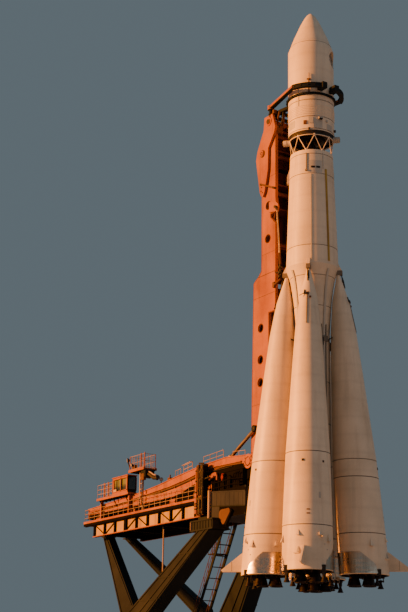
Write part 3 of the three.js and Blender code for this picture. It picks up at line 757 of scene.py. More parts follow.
def build_third_stage():
    top = FAIRING_BASE - GAP
    rows = [(1.44, STAGE_BASE), (STAGE_R, STAGE_BASE + 0.12), (STAGE_R, top)]
    for z in spaced(30.38, 0.115, 6):
        rib = STAGE_R + 0.018
        rows += [(STAGE_R, z - 0.03), (rib, z - 0.015), (rib, z + 0.015), (STAGE_R, z + 0.03)]
    profile, kinds = seamed(CORE, rows, [30.18, 31.35, 29.32], 0.045, 0.02)
    # The stage's bottom is black: painted shade inside the truss.
    kinds = [2 if z < STAGE_BASE + 0.05 else kind for (_, z), kind in zip(profile, kinds)]
    body = Body()
    skin(body, [(0, STAGE_BASE)], (profile, kinds), [(0, top)], 2)
    base = STAGE_BASE - 0.1
    for angle, slot in ((45, 3), (-135, 0)):
        body.side_disc(angle, base, 0.2, 1.36, 1.84, slot, 28)
        body.side_ring(angle, base, 0.12, 0.17, 1.83, 1.86, 3)
        body.side_ring(angle, base, 0.2, 0.215, 1.6, 1.66, 3)
        body.side_disc(angle, base, 0.07, 1.8, 1.86, 2, 16)
    CORE.plates(
        body, (-52, 29.75, 0.2, 0.26, 0.05, 4), (-38, 29.9, 0.3, 0.44, 0.03, 3),
        (-20, 29.7, 0.6, 0.7, 0.012, 3), (-42, 29.3, 0.1, 0.14, 0.04, 2),
        (-14, 30.04, 0.26, 0.14, 0.14, 3), (-14, 29.98, 0.2, 0.06, 0.17, 2),
        (4, 29.92, 0.14, 0.14, 0.05, 3), (14, 29.55, 0.5, 0.4, 0.012, 3),
        (-95, 29.8, 0.7, 0.5, 0.012, 3), (-118, 30.0, 0.14, 0.14, 0.06, 2),
        (120, 29.8, 0.8, 0.6, 0.012, 3), (165, 29.7, 0.4, 0.5, 0.03, 3))
    for angle in (40, 75):
        body.side_disc(angle, 29.56, 0.09, 1.45, 1.62, 2, 16)
    CORE.ducts(body, (100, 30.3, 32.3, 0.1, 0.05, 3, 8), (-70, 31.0, 32.3, 0.06, 0.03, 3, 8))
    make("third_stage_skin", body, (WHITE, SEAM, BLACK, PLATE_GREY, RUST), ROCKET,
         ("third_stage",))


TRUSS_TURN = 16.0


def build_truss():
    """Rods in a row of Vs between two rings, round a dark interior."""
    top_z, base_z = STAGE_BASE - 0.08, CORE_TOP + 0.08
    body = Body()
    body.band(1.33, 1.43, STAGE_BASE - 0.13, STAGE_BASE - GAP, 2)
    body.band(1.27, 1.38, CORE_TOP + GAP, CORE_TOP + 0.11)
    body.band(1.39, 1.45, STAGE_BASE - 0.2, STAGE_BASE - 0.16)
    for at in spaced(TRUSS_TURN, 45, 8):
        top, = spoke(at, (1.4, top_z - 0.1))
        for turn in (-22.5, 22.5):
            body.tube([top, *spoke(at + turn, (1.33, base_z))], 0.028, 0, 10)
        body.tube(spoke(at, (1.4, top_z - 0.02), (1.39, top_z - 0.18)), 0.055, 0, 10)
        body.tube(spoke(at + 22.5, (1.3, base_z - 0.03), (1.335, base_z + 0.12)), 0.055, 0, 10)
    make("truss", body, (WHITE, SEAM, BLACK), ROCKET, ("interstage_truss",))
    inner = Body()
    inner.lathe([(0, STAGE_BASE - GAP), (0.9, STAGE_BASE - GAP), (0.86, 28.92), (0.55, 28.8),
                 (0.22, 28.74), (0.3, 28.5), (0.42, 28.3), (0.52, 28.12), (0.49, 28.12),
                 (0.39, 28.3), (0.25, 28.5), (0, 28.6)], 48)
    for at in spaced(20, 45, 8):
        rows = ((0.62, 29.0, 0), (0.6, 28.6, 9), (0.34, 28.45, 16))
        inner.tube([spin((r, 0, z), at + turn) for r, z, turn in rows], 0.045)
    make("third_stage_motor", inner, (ENGINE,), ROCKET, ("third_stage_engine",))


def build_core():
    rows = [(SHOULDER_R, SHOULDER + GAP), (CORE_TOP_R + 0.004, CORE_TOP)]
    body = Body()
    # The dome at the core's top is black: painted shade inside the truss.
    skin(body, [(0, SHOULDER + GAP)], seamed(CORE, rows, [27.62, 26.25, 21.4], 0.04, 0.018),
         [(1.2, CORE_TOP), (0.9, CORE_TOP + 0.16), (0, CORE_TOP + 0.24)], 0, 2)
    CORE.plates(body, (-33, 26.68, 0.26, 0.13, 0.02, 2), (-20, 26.68, 0.26, 0.13, 0.02, 2),
                (-26, 26.7, 0.82, 0.9, 0.008, 3), (-50, 26.45, 0.14, 0.12, 0.09, 1),
                (-124, 26.3, 0.3, 0.55, 0.14), (60, 26.6, 0.5, 0.4, 0.012, 3))
    CORE.wedge(body, -124, 26.55, 0.3, 0.5, 0.15)
    CORE.ducts(body, (1.5, 20.4, 26.6, 0.12, 0.05, 4), (-38.5, 20.4, 26.2, 0.05, 0.03, 3),
               (-50, 26.4, 27.65, 0.05, 0.06, 1, 6), (-6, 26.6, 27.7, 0.05, 0.03, 3, 6),
               (180, 20.4, 26.4, 0.14, 0.06, 3), (92, 20.4, 27.0, 0.08, 0.04, 3))
    make("core_upper_skin", body, (WHITE, SEAM, BLACK, PLATE_GREY, OCHRE), ROCKET, ("core_upper",))

    seams = [5.1, 7.6, 10.2, 12.8, 15.4, 17.6, 19.5]
    body = Body()
    skin(body, [(0, 2.6)], seamed(CORE, [(1.06, 2.6), *WAIST_ROWS], seams, 0.04, 0.016),
         [(0, SHOULDER)])
    for angle in BOOSTERS.values():
        body.box((1.3, 1.9), (-0.13, 0.13), (BOOSTER_TIP + GAP, 20.05), 1, angle)
        body.prism([(1.62, 20.02), (1.9, 20.02), (1.66, 20.5), (1.58, 20.5)], -0.09, 0.09, 0, "y",
                   angle)
    for angle in (0, 90, 180, 270):
        CORE.duct(body, angle + 1.5, 3.0, 19.9, 0.13, 0.07, 3, 48)
        CORE.plates(body, (angle + 1.5, 15.5, 0.5, 0.35, 0.12, 1),
                    (angle - 9, 15.3, 0.16, 0.5, 0.2, 2))
        for side in (-1, 1):
            near = spin((booster_axis(15.6) - 0.62, -side * 0.5, 15.62), angle + side * 45)
            body.tube([CORE.at(angle + side * 22, 15.45), near], 0.035, 2)
        for shift in (-8, 9):
            path = [CORE.at(angle + shift, z, 0.05) for z in (3.0, 6.0, 9.0, 12.0, 15.0, 16.4)]
            body.tube(path, 0.035, 1)
    make("core_lower_skin", body, (WHITE, SEAM, BLACK, PLATE_GREY), ROCKET, ("core_lower",))

    wear("core_tail", METAL)
    ribs = Body()
    for z in (1.06, 1.32, 1.6, 1.88, 2.5):
        ribs.band(1.19, 1.225, z - 0.03, z + 0.03)
    make("core_tail_rings", ribs, (METAL,), ROCKET, ())


BELL_R = 0.38
BELL_OUTER = [(0.13, 1.0), (0.17, 0.94), (0.2, 0.84), (0.24, 0.66), (0.29, 0.42), (0.33, 0.2),
              (BELL_R, 0.0)]
BELL_INNER = [(0.355, 0.0), (0.31, 0.2), (0.26, 0.42), (0.2, 0.62), (0.0, 0.7)]
BELL_SPACING = 0.43


def bell(body, x, y, base, top):
    """One nozzle bell with stiffening rings."""
    rise = top - base
    rows = [(0.0, top)] + [(r, base + rise * h) for r, h in BELL_OUTER + BELL_INNER]
    body.lathe(rows, 36, 0, moved(x, y))
    for height, extra in ((0.02, 0.012), (0.3, 0.014), (0.52, 0.014), (0.76, 0.02)):
        z = base + rise * height
        r = between([(h, r) for r, h in BELL_OUTER], height)
        body.band(r - 0.02, r + extra, z - 0.018, z + 0.018, 0, 36, moved(x, y))


def build_engine(name, node, centre, turn, base, top, plate_r):
    """A thrust plate with four bells, pumps and pipes under it."""
    body = Body()
    floor = top - 0.12
    shift = moved(centre)
    body.lathe([(0, floor), (plate_r, floor), (plate_r, top), (0, top)], 48, 0, shift)
    for dx in (-BELL_SPACING, BELL_SPACING):
        for dy in (-BELL_SPACING, BELL_SPACING):
            bell(body, centre + dx, dy, base, floor + 0.02)
    arm = BELL_SPACING + 0.16
    for (c, s), (c2, s2) in zip(circle(4), circle(4, 0.5)):
        path = [(r * c, r * s, floor - fall)
                for r, fall in ((0.2, 0.02), ((0.2 + arm) / 2, 0.17), (arm, 0.2))]
        pump = [(0.72 * c2, 0.72 * s2, floor + 0.01), (0.66 * c2, 0.66 * s2, floor - 0.14)]
        body.tube([shift(p) for p in path], 0.05, 1)
        body.tube([shift(p) for p in pump], 0.07, 1, 10)
    body.lathe([(0, floor - 0.26), (0.14, floor - 0.24), (0.2, floor - 0.12), (0.2, floor + 0.01),
                (0, floor + 0.01)], 24, 1, shift)
    body.tube([(centre + 0.62 * c, 0.62 * s, floor - 0.03) for c, s in circle(40)], 0.03, 1,
              closed=True)
    body.turn(turn)
    make(name, body, (ENGINE, BLACK), ROCKET, (node,))


VERNIER_PIVOT = 0.92
VERNIER_BASE = 0.48
VERNIER_OUT = BOOSTER_AXIS + 0.84
VERNIER_ACROSS = 1.06
VERNIER_ROWS = [
    (0, VERNIER_PIVOT + 0.07), (0.07, VERNIER_PIVOT + 0.07), (0.085, VERNIER_PIVOT + 0.03),
    (0.085, VERNIER_PIVOT - 0.08), (0.075, VERNIER_PIVOT - 0.12), (0.1, 0.7), (0.14, 0.58),
    (0.18, VERNIER_BASE), (0.16, VERNIER_BASE), (0.12, 0.58), (0.08, 0.68), (0, 0.7)]


def build_vernier(node, out, across, turn):
    """A steering nozzle on its swivel pin."""
    body = Body()
    shift = moved(out, across)
    body.lathe(VERNIER_ROWS, 28, 0, shift)
    for z, r in ((0.5, 0.172), (0.6, 0.134), (0.7, 0.1)):
        body.band(r - 0.02, r + 0.012, z - 0.01, z + 0.01, 1, 28, shift)
    body.tube([(out + end, across, VERNIER_PIVOT) for end in (-0.205, 0.205)], 0.049, 1, 16)
    body.turn(turn)
    make(node + "_nozzle", body, (ENGINE, BLACK), node, (node,))


BOOSTER_SEAMS = {"a": [8.0, 3.7], "b": [7.9, 6.85], "c": [7.9], "d": [7.9]}


def build_booster(letter, turn):
    surface = Surface(BOOSTER_ROWS, booster_axis, turn)
    lean = lambda p: spin((p[0] + booster_axis(p[2]), p[1], p[2]), turn)
    profile, kinds = seamed(surface, BOOSTER_ROWS[1:], BOOSTER_SEAMS[letter], 0.05, 0.02)
    profile = [(r, max(z, TAIL_TOP)) for r, z in profile]
    body = Body()
    skin(body, [(0, TAIL_TOP)], (profile, kinds), [(0, BOOSTER_TIP)], shape=lean)
    surface.duct(body, 0, 16.0, 17.9, 0.05, 0.04, 1, 8)
    surface.plates(
        body, (0, 18.0, 0.2, 0.16, 0.09, 2), (18, 17.75, 0.1, 0.1, 0.1, 4),
        (-20, 18.1, 0.05, 0.3, 0.06, 2), (-4, 7.45, 0.13, 0.13, 0.03, 2),
        (10, 4.55, 0.2, 0.06, 0.012, 4), (10, 4.32, 0.2, 0.06, 0.012, 4),
        (50, 7.4, 0.1, 0.12, 0.03, 2), (38, 5.4, 0.12, 0.34, 0.012, 3))
    body.tube([surface.at(-12, 18.05, 0.05), surface.at(-40, 17.85, 0.22)], 0.02, 2)
    for shift, z in ((-8, 19.5), (10, 19.3), (0, 19.15)):
        body.tube([surface.at(shift, z - 0.25, 0.03), surface.at(shift, z + 0.3, 0.1)], 0.035, 2)
    make(f"booster_{letter}_skin", body, (WHITE, SEAM, BLACK, PLATE_GREY, RUST), ROCKET,
         (f"booster_{letter}_tank",))

    top = TAIL_TOP - GAP
    rows = [(RIM_R - 0.03, RIM), (RIM_R, RIM + 0.03), (1.463, 3.4), (1.46, top)]
    body = Body()
    skin(body, [(0, RIM + 0.2), (1.39, RIM + 0.2), (1.39, RIM)],
         seamed(surface, rows, [] if letter == "a" else [3.52], 0.05, 0.02), [(0, top)], 2,
         shape=lean)
    for angle, z, size in ((-13, 3.08, 0.8), (36, 3.1, 0.75), (62, 2.75, 1.0), (-62, 2.75, 1.0),
                           (120, 2.8, 0.9)):
        surface.wedge(body, angle, z, 0.2 * size, 0.42 * size, 0.17 * size)
    body.tube([surface.at(42, 3.08, 0.02), surface.at(42, 3.02, 0.15)], 0.065, 0, 14)
    surface.wedge(body, -12, 2.12, 0.14, 0.32, 0.12, 3)
    surface.plates(body, (-17, 2.08, 0.34, 0.05, 0.09), (66, 2.95, 0.06, 0.06, 0.02, 2),
                   (50, 2.6, 0.06, 0.06, 0.02, 3), (58, 2.3, 0.06, 0.06, 0.02, 3))
    mark = len(body.points)
    near, far = BOOSTER_AXIS + 0.6, BOOSTER_AXIS + 1.08
    for y in (-VERNIER_ACROSS, VERNIER_ACROSS):
        body.prism([(near, 1.09), (far, 1.09), (far, 1.43), (near, 1.43)], y - 0.12, y + 0.12, 2)
        ear = [(y - 0.09, 1.2), (y - 0.09, 0.92), (y - 0.06, 0.85), (y + 0.06, 0.85),
               (y + 0.09, 0.92), (y + 0.09, 1.2)]
        for middle in (VERNIER_OUT - 0.17, VERNIER_OUT + 0.17):
            body.prism(ear, middle - 0.02, middle + 0.02, 2, "x")
    fin = [(4.3, 1.45), (5.62, 1.45), (5.66, 1.49), (5.64, 1.54), (4.4, 2.5), (4.3, 2.5)]
    body.prism(fin, -0.05, 0.05)
    body.prism([(5.0, 1.45), (5.02, 1.45), (5.02, 2.0), (5.0, 2.0)], -0.055, 0.055, 1)
    body.tube([(4.4, 0, 1.44), (5.6, 0, 1.44)], 0.055, 0, 12)
    body.turn(turn, mark)
    make(f"booster_{letter}_tail_skin", body, (WHITE, SEAM, BLACK, PLATE_GREY), ROCKET,
         (f"booster_{letter}_tail",))
    build_heat_shield(letter, surface)
    build_engine(f"booster_{letter}_motor", f"booster_{letter}_engine", 2.78, turn, 0.55,
                 RIM + 0.2 - GAP, 0.95)


def build_heat_shield(letter, surface):
    """Polished ribbed sheet round the inner side of a booster's tail, cut off at a slant."""
    steps, rows = 60, 10
    base, top = RIM + 0.05, 2.44
    outer, inner, faces = [], [], []
    for j in range(rows + 1):
        share = j / rows
        z = base + (top - base) * share
        half = 128.0 - 4.0 * min(share, 0.4) / 0.4 - 34.0 * max(share - 0.4, 0.0) / 0.6
        angles = [180 - half + 2 * half * i / steps for i in range(steps + 1)]
        wave = 0.012 if j % 2 else 0.028
        outer += [surface.at(angle, z, wave) for angle in angles]
        inner += [surface.at(angle, z, -0.01) for angle in angles]
    wide, back = steps + 1, len(outer)
    for j in range(rows):
        for i in range(steps):
            a = j * wide + i
            faces.append((a, a + 1, a + wide + 1, a + wide))
            faces.append((back + a, back + a + wide, back + a + wide + 1, back + a + 1))
        left, right = j * wide, j * wide + steps
        faces.append((left, left + wide, back + left + wide, back + left))
        faces.append((right, back + right, back + right + wide, right + wide))
    for i in range(steps):
        faces.append((i, back + i, back + i + 1, i + 1))
        a = rows * wide + i
        faces.append((a, a + 1, back + a + 1, back + a))
    body = Body()
    body.put(outer + inner, faces)
    make(f"booster_{letter}_heat_shield", body, (METAL,), ROCKET, (), 60.0)


def build_rocket():
    build_fairing()
    build_third_stage()
    build_truss()
    build_core()
    build_engine("core_motor", "core_engine", 0.0, 0.0, 0.25, 1.0 - GAP, 1.1)
    for i, turn in enumerate((0, 90, 180, 270)):
        build_vernier(f"core_vernier_{i + 1}", 1.6, 0.0, turn)
    for letter, turn in BOOSTERS.items():
        build_booster(letter, turn)
        for i, side in enumerate((-1, 1)):
            build_vernier(f"booster_{letter}_vernier_{i + 1}", VERNIER_OUT, side * VERNIER_ACROSS,
                          turn)


# Erector: boom, head, clamp

BOOM_HALF = 1.2
SPLICE = 20.6
BOOM_EDGES = (
    [(-3.5, 7.6), (-3.5, 10.5), (-3.1, 11.2), (-3.1, 17.95), (-2.36, 17.95), (-2.36, SPLICE)],
    [(-5.0, 7.6), (-4.8, 20.3), (-4.35, SPLICE)],
    [(-2.36, SPLICE), (-2.36, 23.9), (-2.9, 24.4), (-2.9, 24.65), (-2.3, 24.65), (-2.22, 24.85),
     (-2.26, 25.1), (-2.36, 25.7), (-2.36, 30.2)],
    [(-4.3, SPLICE), (-3.9, 20.95), (-3.9, 29.2), (-3.5, 30.2)])
BOOM_HOLES = [(-3.98, 17.1), (-4.0, 15.0), (-4.0, 13.5), (-3.15, 25.3), (-3.2, 23.0)]
PIVOT = (-4.25, 8.4)
HEAD_PIN = (-2.86, 31.15)
HEAD_BOSS = (-3.59, 29.08)


# Faces inside the boom; these get the shaded steel, a painted shade.
def looks_inwards(center, normal):
    return abs(center.y - AXIS_Y) < (BOOM_HALF - 0.08) * SCALE and normal.x > -0.5


def build_boom():
    for node in ("boom_lower", "boom_upper"):
        wear(node, ORANGE, UMBER, rule=looks_inwards)
    wear("boom_head", ORANGE)
    body = Body()
    for body.side in (-1, 1):
        for path in BOOM_EDGES:
            for (x0, z0), (x1, z1) in zip(path, path[1:]):
                up = UP_Z if abs(z1 - z0) < abs(x1 - x0) else UP_X
                body.beam((x0, 1.1, z0), (x1, 1.1, z1), 0.2, 0.05, 0, up)
        for x, z in BOOM_HOLES:
            body.ring(x, z, 0.262, 0.3, 1.1, 1.215, 3)
        for z, x0, x1 in ((12.1, -4.9, -3.12), (19.2, -4.8, -2.38), (22.0, -3.88, -2.38),
                          (27.3, -3.88, -2.38)):
            body.box((x0, x1), (1.1, 1.204), (z - 0.012, z + 0.012), 1)
        body.box((-4.3, -2.36), (1.1, 1.206), (SPLICE - 0.02, SPLICE + 0.02), 1)
        body.ring(*PIVOT, 0.26, 0.44, 1.2, 1.5, 0, 40)
        for z0, z1, x0, x1 in ((15.7, 19.6, -4.5, -2.6), (21.1, 24.6, -3.7, -2.6)):
            body.beam((x0, 1.02, z0), (x1, 1.02, z1), 0.1, 0.1, 3, UP_Y)
        body.beam((-3.72, 1.43, 26.93), (-2.2, 1.43, 26.2), 0.07, 0.12, 1)
        for x, z in ((-3.7, 26.9), (-2.3, 26.25)):
            body.tube([(x, 1.2, z), (x, 1.48, z)], 0.07, 2, 12)
    for z in (11.4, 14.2, 17.6):
        body.box((-3.3, -3.14), (-1.08, 1.08), (z, z + 0.2), 3)
    for z in (20.75, 22.3, 25.85, 28.5, 29.9):
        body.boxes(((-2.62, -2.42), (-1.08, 1.08), (z, z + 0.2), 3),
                   ((-2.66, -2.4), (-1.08, 1.08), (z + 0.2, z + 0.24), 2))
    for y in (-0.62, -0.5, 0.42, 0.54):
        body.tubes(([(-4.05, y, 20.8), (-3.72, y, 21.4), (-3.7, y, 28.8)], 0.03, 2),
                   ([(-4.82, y, 8.0), (-4.72, y, 14.0), (-4.62, y, 20.1)], 0.03, 2))
    for y, x in ((0.85, -2.75), (0.72, -2.8), (-0.2, -3.6)):
        body.tube([(x, y, 20.9), (x, y, 29.6)], 0.045, 2, 10)
    body.ladder((-5.02, 0.0, 8.4), (-4.88, 0.0, 20.1), 0.5, 0.32, 1)
    body.ladder((-3.96, 0.0, 21.2), (-3.96, 0.0, 28.9), 0.5, 0.32, 1)
    make("boom_details", body, (ORANGE, RUST, BLACK, UMBER), ROCKET, ())

    lug = Body()
    for lug.side in (-1, 1):
        lug.prism([(-2.95, 24.75), (-2.3, 24.6), (-2.05, 24.62), (-1.9, 24.8), (-1.95, 25.05),
                   (-2.2, 25.3), (-2.95, 25.45)], 1.201, 1.3)
        lug.tubes(
            ([(-2.1, 1.12, 24.85), (-2.1, 1.46, 24.85)], 0.09, 2, 16),
            ([(-2.1, 1.4, 24.85), (-1.86, 1.4, 24.55)], 0.07, 2, 12),
            ([(-1.9, 1.4, 24.6), (-1.5, 1.47, 21.3)], [0.05, 0.055], 4, 12),
            ([(-1.52, 1.47, 21.5), (-1.46, 1.47, 20.7)], 0.075, 1, 12),
            ([(-1.47, 1.47, 20.75), (-1.4, 1.45, 19.85)], 0.06, 2, 10),
            ([(-2.34, 1.26, 19.62), (-1.4, 1.46, 19.72)], 0.075, 1, 12),
            ([(-2.36, 1.22, 20.5), (-1.95, 1.4, 20.25), (-1.46, 1.5, 20.3)], 0.035, 2))
        for z in (20.5, 20.15, 19.9):
            lug.tube([(-1.44, 1.35, z), (-1.44, 1.6, z)], 0.085, 2, 14)
        lug.box((-2.5, -2.3), (1.201, 1.34), (19.45, 19.8), 1)
    make("boom_links", lug, (ORANGE, RUST, BLACK, UMBER, ROD), ROCKET, ())
    build_head()
    build_clamp()


def build_head():
    """Pins, tie bars and pipes between and on the head's two cheeks."""
    body = Body()
    pin_x, pin_z = HEAD_PIN
    for body.side in (-1, 1):
        body.ring(*HEAD_PIN, 0.19, 0.3, 1.37, 1.42)
        body.ring(*HEAD_BOSS, 0.19, 0.27, 1.37, 1.4, 1)
        body.ring(*HEAD_BOSS, 0.07, 0.13, 1.45, 1.475, 1)
        for x, z in ((-3.74, 26.45), (-3.66, 26.7), (-3.56, 26.3)):
            body.tube([(x, 1.37, z), (x, 1.41, z)], 0.04, 2)
        body.tubes(
            ([(pin_x, 1.4, pin_z), (pin_x, 1.468, pin_z)], 0.17, 2, 24),
            ([(-2.75, 1.3, 31.0), (-2.75, 1.3, 31.66)], 0.12, 1, 14),
            ([(-2.5, 1.0, 30.9), (-1.95, 1.15, 31.62)], 0.07, 1, 12),
            ([(-2.3, 1.0, 30.5), (-1.9, 0.95, 31.0), (-1.8, 0.95, 31.6)], 0.05, 2, 12))
        body.box((-2.45, -2.2), (0.7, 1.18), (30.2, 30.75), 1)
    for x, z in ((-3.9, 29.0), (-3.3, 30.6), (-2.6, 30.5)):
        body.beam((x, -1.2, z), (x, 1.2, z), 0.14, 0.14, 3)
    for y in (-0.6, 0.1, 0.7):
        body.tubes(([(-2.6, y, 30.2), (-2.3, y, 31.0), (-2.25, y, 31.62)], 0.085, 1, 12),
                   ([(-2.75, y - 0.14, 30.2), (-2.7, y - 0.14, 31.3), (-2.3, y - 0.04, 31.62)],
                    0.03, 2))
    web = [(-3.75, 27.6), (-3.69, 27.6), (-3.69, 29.1), (-3.28, 30.2), (-3.1, 31.25),
           (-3.16, 31.25), (-3.34, 30.2), (-3.75, 29.12)]
    body.prism(web, -1.2, 1.2, 3)
    # A near-black band across the head: painted shadow of the cross beam above.
    body.box((-3.69, -3.6), (-1.2, 1.2), (28.1, 28.32), 4)
    make("boom_head_details", body, (ORANGE, RUST, BLACK, UMBER, SHADE_BLACK), ROCKET, ())


JAW_Z = (31.98, 32.26)
JAW_R = (1.86, 2.14)
JAW_START, JAW_TURN = 10.0, 72.0
HINGE_X, HINGE_Y = -2.75, 1.3
PIN_ANGLE = -42.0
SHELF = 31.601


def build_clamp():
    ring = Body()
    hoop = [(GAP, 31.69), (0.09, 31.69), (0.12, 31.71), (0.12, 31.82), (0.09, 31.84), (GAP, 31.84)]
    ring.lathe([(STAGE_R + r, z) for r, z in hoop], ROUND)
    for angle in spaced(4, 15, 24):
        ring.box((STAGE_R + 0.1, STAGE_R + 0.15), (-0.03, 0.03), (31.7, 31.82), 0, angle)
    x, y = HINGE_X, HINGE_Y
    arm = [(-3.2, 1.1), (-2.0, 1.1), (-1.3, 0.98), (-1.42, 0.72), (-3.2, 0.8)]
    for ring.side in (-1, 1):
        ring.prism([(a, ring.side * b) for a, b in arm], SHELF, 31.8, 0, "z")
        ring.tube([(x, y, z) for z in (SHELF, 31.7, 31.71, 31.88, JAW_Z[0] - 0.0007)],
                  [0.16, 0.16, 0.12, 0.12, 0.2], 0, 24)
        ring.tube([(x, y, 31.75), (x, y, JAW_Z[1] + 0.04)], 0.088, 2, 20)
        ring.beam((x + 0.1, y, 31.66), (x + 0.55, 0.95, 31.7), 0.12, 0.1, 1)
        ring.box((-2.5, -2.3), (1.1, 1.36), (SHELF, 31.86), 1)
    for x in (-3.2, -2.4):
        ring.box((x, x + 0.2), (-1.1, 1.1), (SHELF, 31.78))
    r = STAGE_R + 0.07
    ring.tubes((spoke(PIN_ANGLE, (r, 32.7), (r, 33.2)), 0.035, 3, 10),
               (spoke(PIN_ANGLE, (r, 31.8), (r, 32.75)), 0.04, 1, 10),
               ([spin((r, end, 32.76), PIN_ANGLE) for end in (-0.13, 0.13)], 0.045, 1, 10))
    make("clamp_hoop", ring, (DARK, RUST, STEEL, PALE), ROCKET, ("clamp_ring",))
    for word, side in SIDES:
        build_jaw(word, side)


def build_jaw(word, side):
    """A gripping arm: a dark curved bar with flanges and a pad, on an orange arm with an eye."""
    inner, outer = JAW_R
    low, high = JAW_Z
    body = Body()
    steps = max(2, round((JAW_TURN - JAW_START) / 2.5))
    angles = [math.radians(JAW_START + (JAW_TURN - JAW_START) * i / steps)
              for i in range(steps + 1)]
    for section in (washer(inner + 0.03, outer - 0.03, low + 0.03, high - 0.03),
                    washer(inner, outer, low, low + 0.04), washer(inner, outer, high - 0.04, high)):
        body.loft([[(r * math.cos(t), side * r * math.sin(t), z) for r, z in section]
                   for t in angles], 1, flip=side < 0)
    c, s = math.cos(angles[-1]), side * math.sin(angles[-1])
    x, y = HINGE_X, side * HINGE_Y
    arm = [(outer * c, outer * s), (x + 0.13, side * (HINGE_Y + 0.16)),
           (x + 0.15, side * (HINGE_Y - 0.13)), (inner * c, inner * s)]
    body.prism(arm, low + 0.11, high - 0.01, 0, "z")
    # A dark strip under the arm: painted shade on its underside.
    body.prism(arm, low + 0.05, low + 0.11, 1, "z")
    body.band(0.092, 0.22, low, high, 0, 32, moved(x, y))
    body.side = side
    for degrees in spaced(18, 12.5, 5):
        t = math.radians(degrees)
        body.tube([(r * math.cos(t), r * math.sin(t), (low + high) / 2)
                   for r in (outer - 0.06, (outer - 0.06) * 1.035)], 0.045, 2)
    body.box((STAGE_R + 0.05, outer + 0.01), (0.3, 0.66), (low - 0.06, high + 0.06), 1)
    body.box((STAGE_R + 0.02, STAGE_R + 0.06), (0.34, 0.62), (low - 0.02, high + 0.02), 2)
    make(f"jaw_{word}_arm", body, (ORANGE, DARK, BLACK), f"jaw_{word}", (f"jaw_{word}",))


# Erector: raising cylinders

CYLINDER_FOOT = (-10.9, 7.1)
CYLINDER_EYE = (-4.3, 10.55)
EYE_Y = (1.2007, 1.53)
EYE_R = 0.2
BARREL_END = 4.4
ROD_REACH = 3.9
BORE_R = 0.1215


def build_cylinders():
    (fx, fz), (ex, ez) = CYLINDER_FOOT, CYLINDER_EYE
    length = math.hypot(ex - fx, ez - fz)
    barrel = [(0, 0.17), (0.12, 0.17), (0.154, 0.24)]
    for z in (0.5, 1.7, 2.9, 4.05):
        barrel += [(0.154, z - 0.01), (0.162, z), (0.162, z + 0.1), (0.154, z + 0.11)]
    barrel += [(0.154, 4.25), (0.162, 4.26), (0.162, 4.38), (0.15, BARREL_END),
               (BORE_R, BARREL_END), (BORE_R, 0.45), (0, 0.45)]
    rod_rows = [(0, ROD_REACH), (0.1195, ROD_REACH), (0.1195, 0.24), (0.15, 0.23), (0.15, 0.2),
                (0.1, 0.15), (0, 0.15)]
    for word, side in SIDES:
        start = Vector((fx, side * sum(EYE_Y) / 2, fz))
        turn = Vector((ex - fx, 0, ez - fz)).to_track_quat("Z", "Y")
        lay = lambda p: tuple(start + turn @ Vector(p))
        body = Body()
        body.lathe(barrel, 40, 0, lay)
        body.tube([lay((-0.13, 0, reach)) for reach in (0.6, 2.0, 4.0)], 0.02, 2)
        body.side = side
        body.ring(fx, fz, 0.062, EYE_R, *EYE_Y, 1, 36)
        name = f"cylinder_barrel_{word}"
        make(f"raising_barrel_{word}", body, (GOLD, DARK, BLACK), name, (name,))
        rod = Body()
        rod.lathe([(r, length - z) for r, z in rod_rows], 36, [0, 0, 0, 1, 1, 1, 1], lay)
        rod.side = side
        rod.ring(ex, ez, 0.07, EYE_R, *EYE_Y, 1, 36)
        rod.tube([(ex, EYE_Y[0] + 0.01, ez), (ex, EYE_Y[1] - 0.01, ez)], 0.071, 2, 16)
        name = f"cylinder_rod_{word}"
        make(f"raising_rod_{word}", rod, (ROD, DARK, BLACK), name, (name,))


# Platform

COLUMN_X = (-9.4, -8.5)
DECK_TOP = 6.6
FAR_END = -25.8
DECK_X = (FAR_END, -9.42)
GIRDER_X = (-24.4, -8.5)
WALK_Y = 2.16
BEAM_Y = 1.9
BEAM_TOP = [(-3.6, 8.75), (-6.8, 9.0), (-9.8, 8.85), (-13.2, 8.5), (-15.2, 8.25), (-18, 8.0),
            (-25.7, 7.65)]
BEAM_BASE = [(-3.6, 8.05), (-8.6, 8.05), (-10.2, 7.2), (-18, 7.0), (-25.7, 6.92)]
DEEP_SHADE = [(-25.6, 6.93), (-25.6, 7.2), (-22.0, 7.17), (-18.0, 7.14), (-13.2, 7.22),
              (-12.2, 7.34), (-10.9, 7.68), (-9.95, 7.78), (-9.95, 7.33), (-10.2, 7.2),
              (-18.0, 7.0)]
ARCH_SHADE = [(-8.6, 8.05), (-9.3, 8.0), (-8.6, 8.34), (-6.8, 8.42), (-3.65, 8.3), (-3.65, 8.05)]
BEAM_LEDGE = [(-5.0, 8.5), (-8.0, 8.56), (-10.0, 8.4), (-11.9, 8.13), (-13.8, 7.95), (-18.6, 7.68),
              (-25.5, 7.36)]
RAILS = (0.36, 0.68, 1.0)


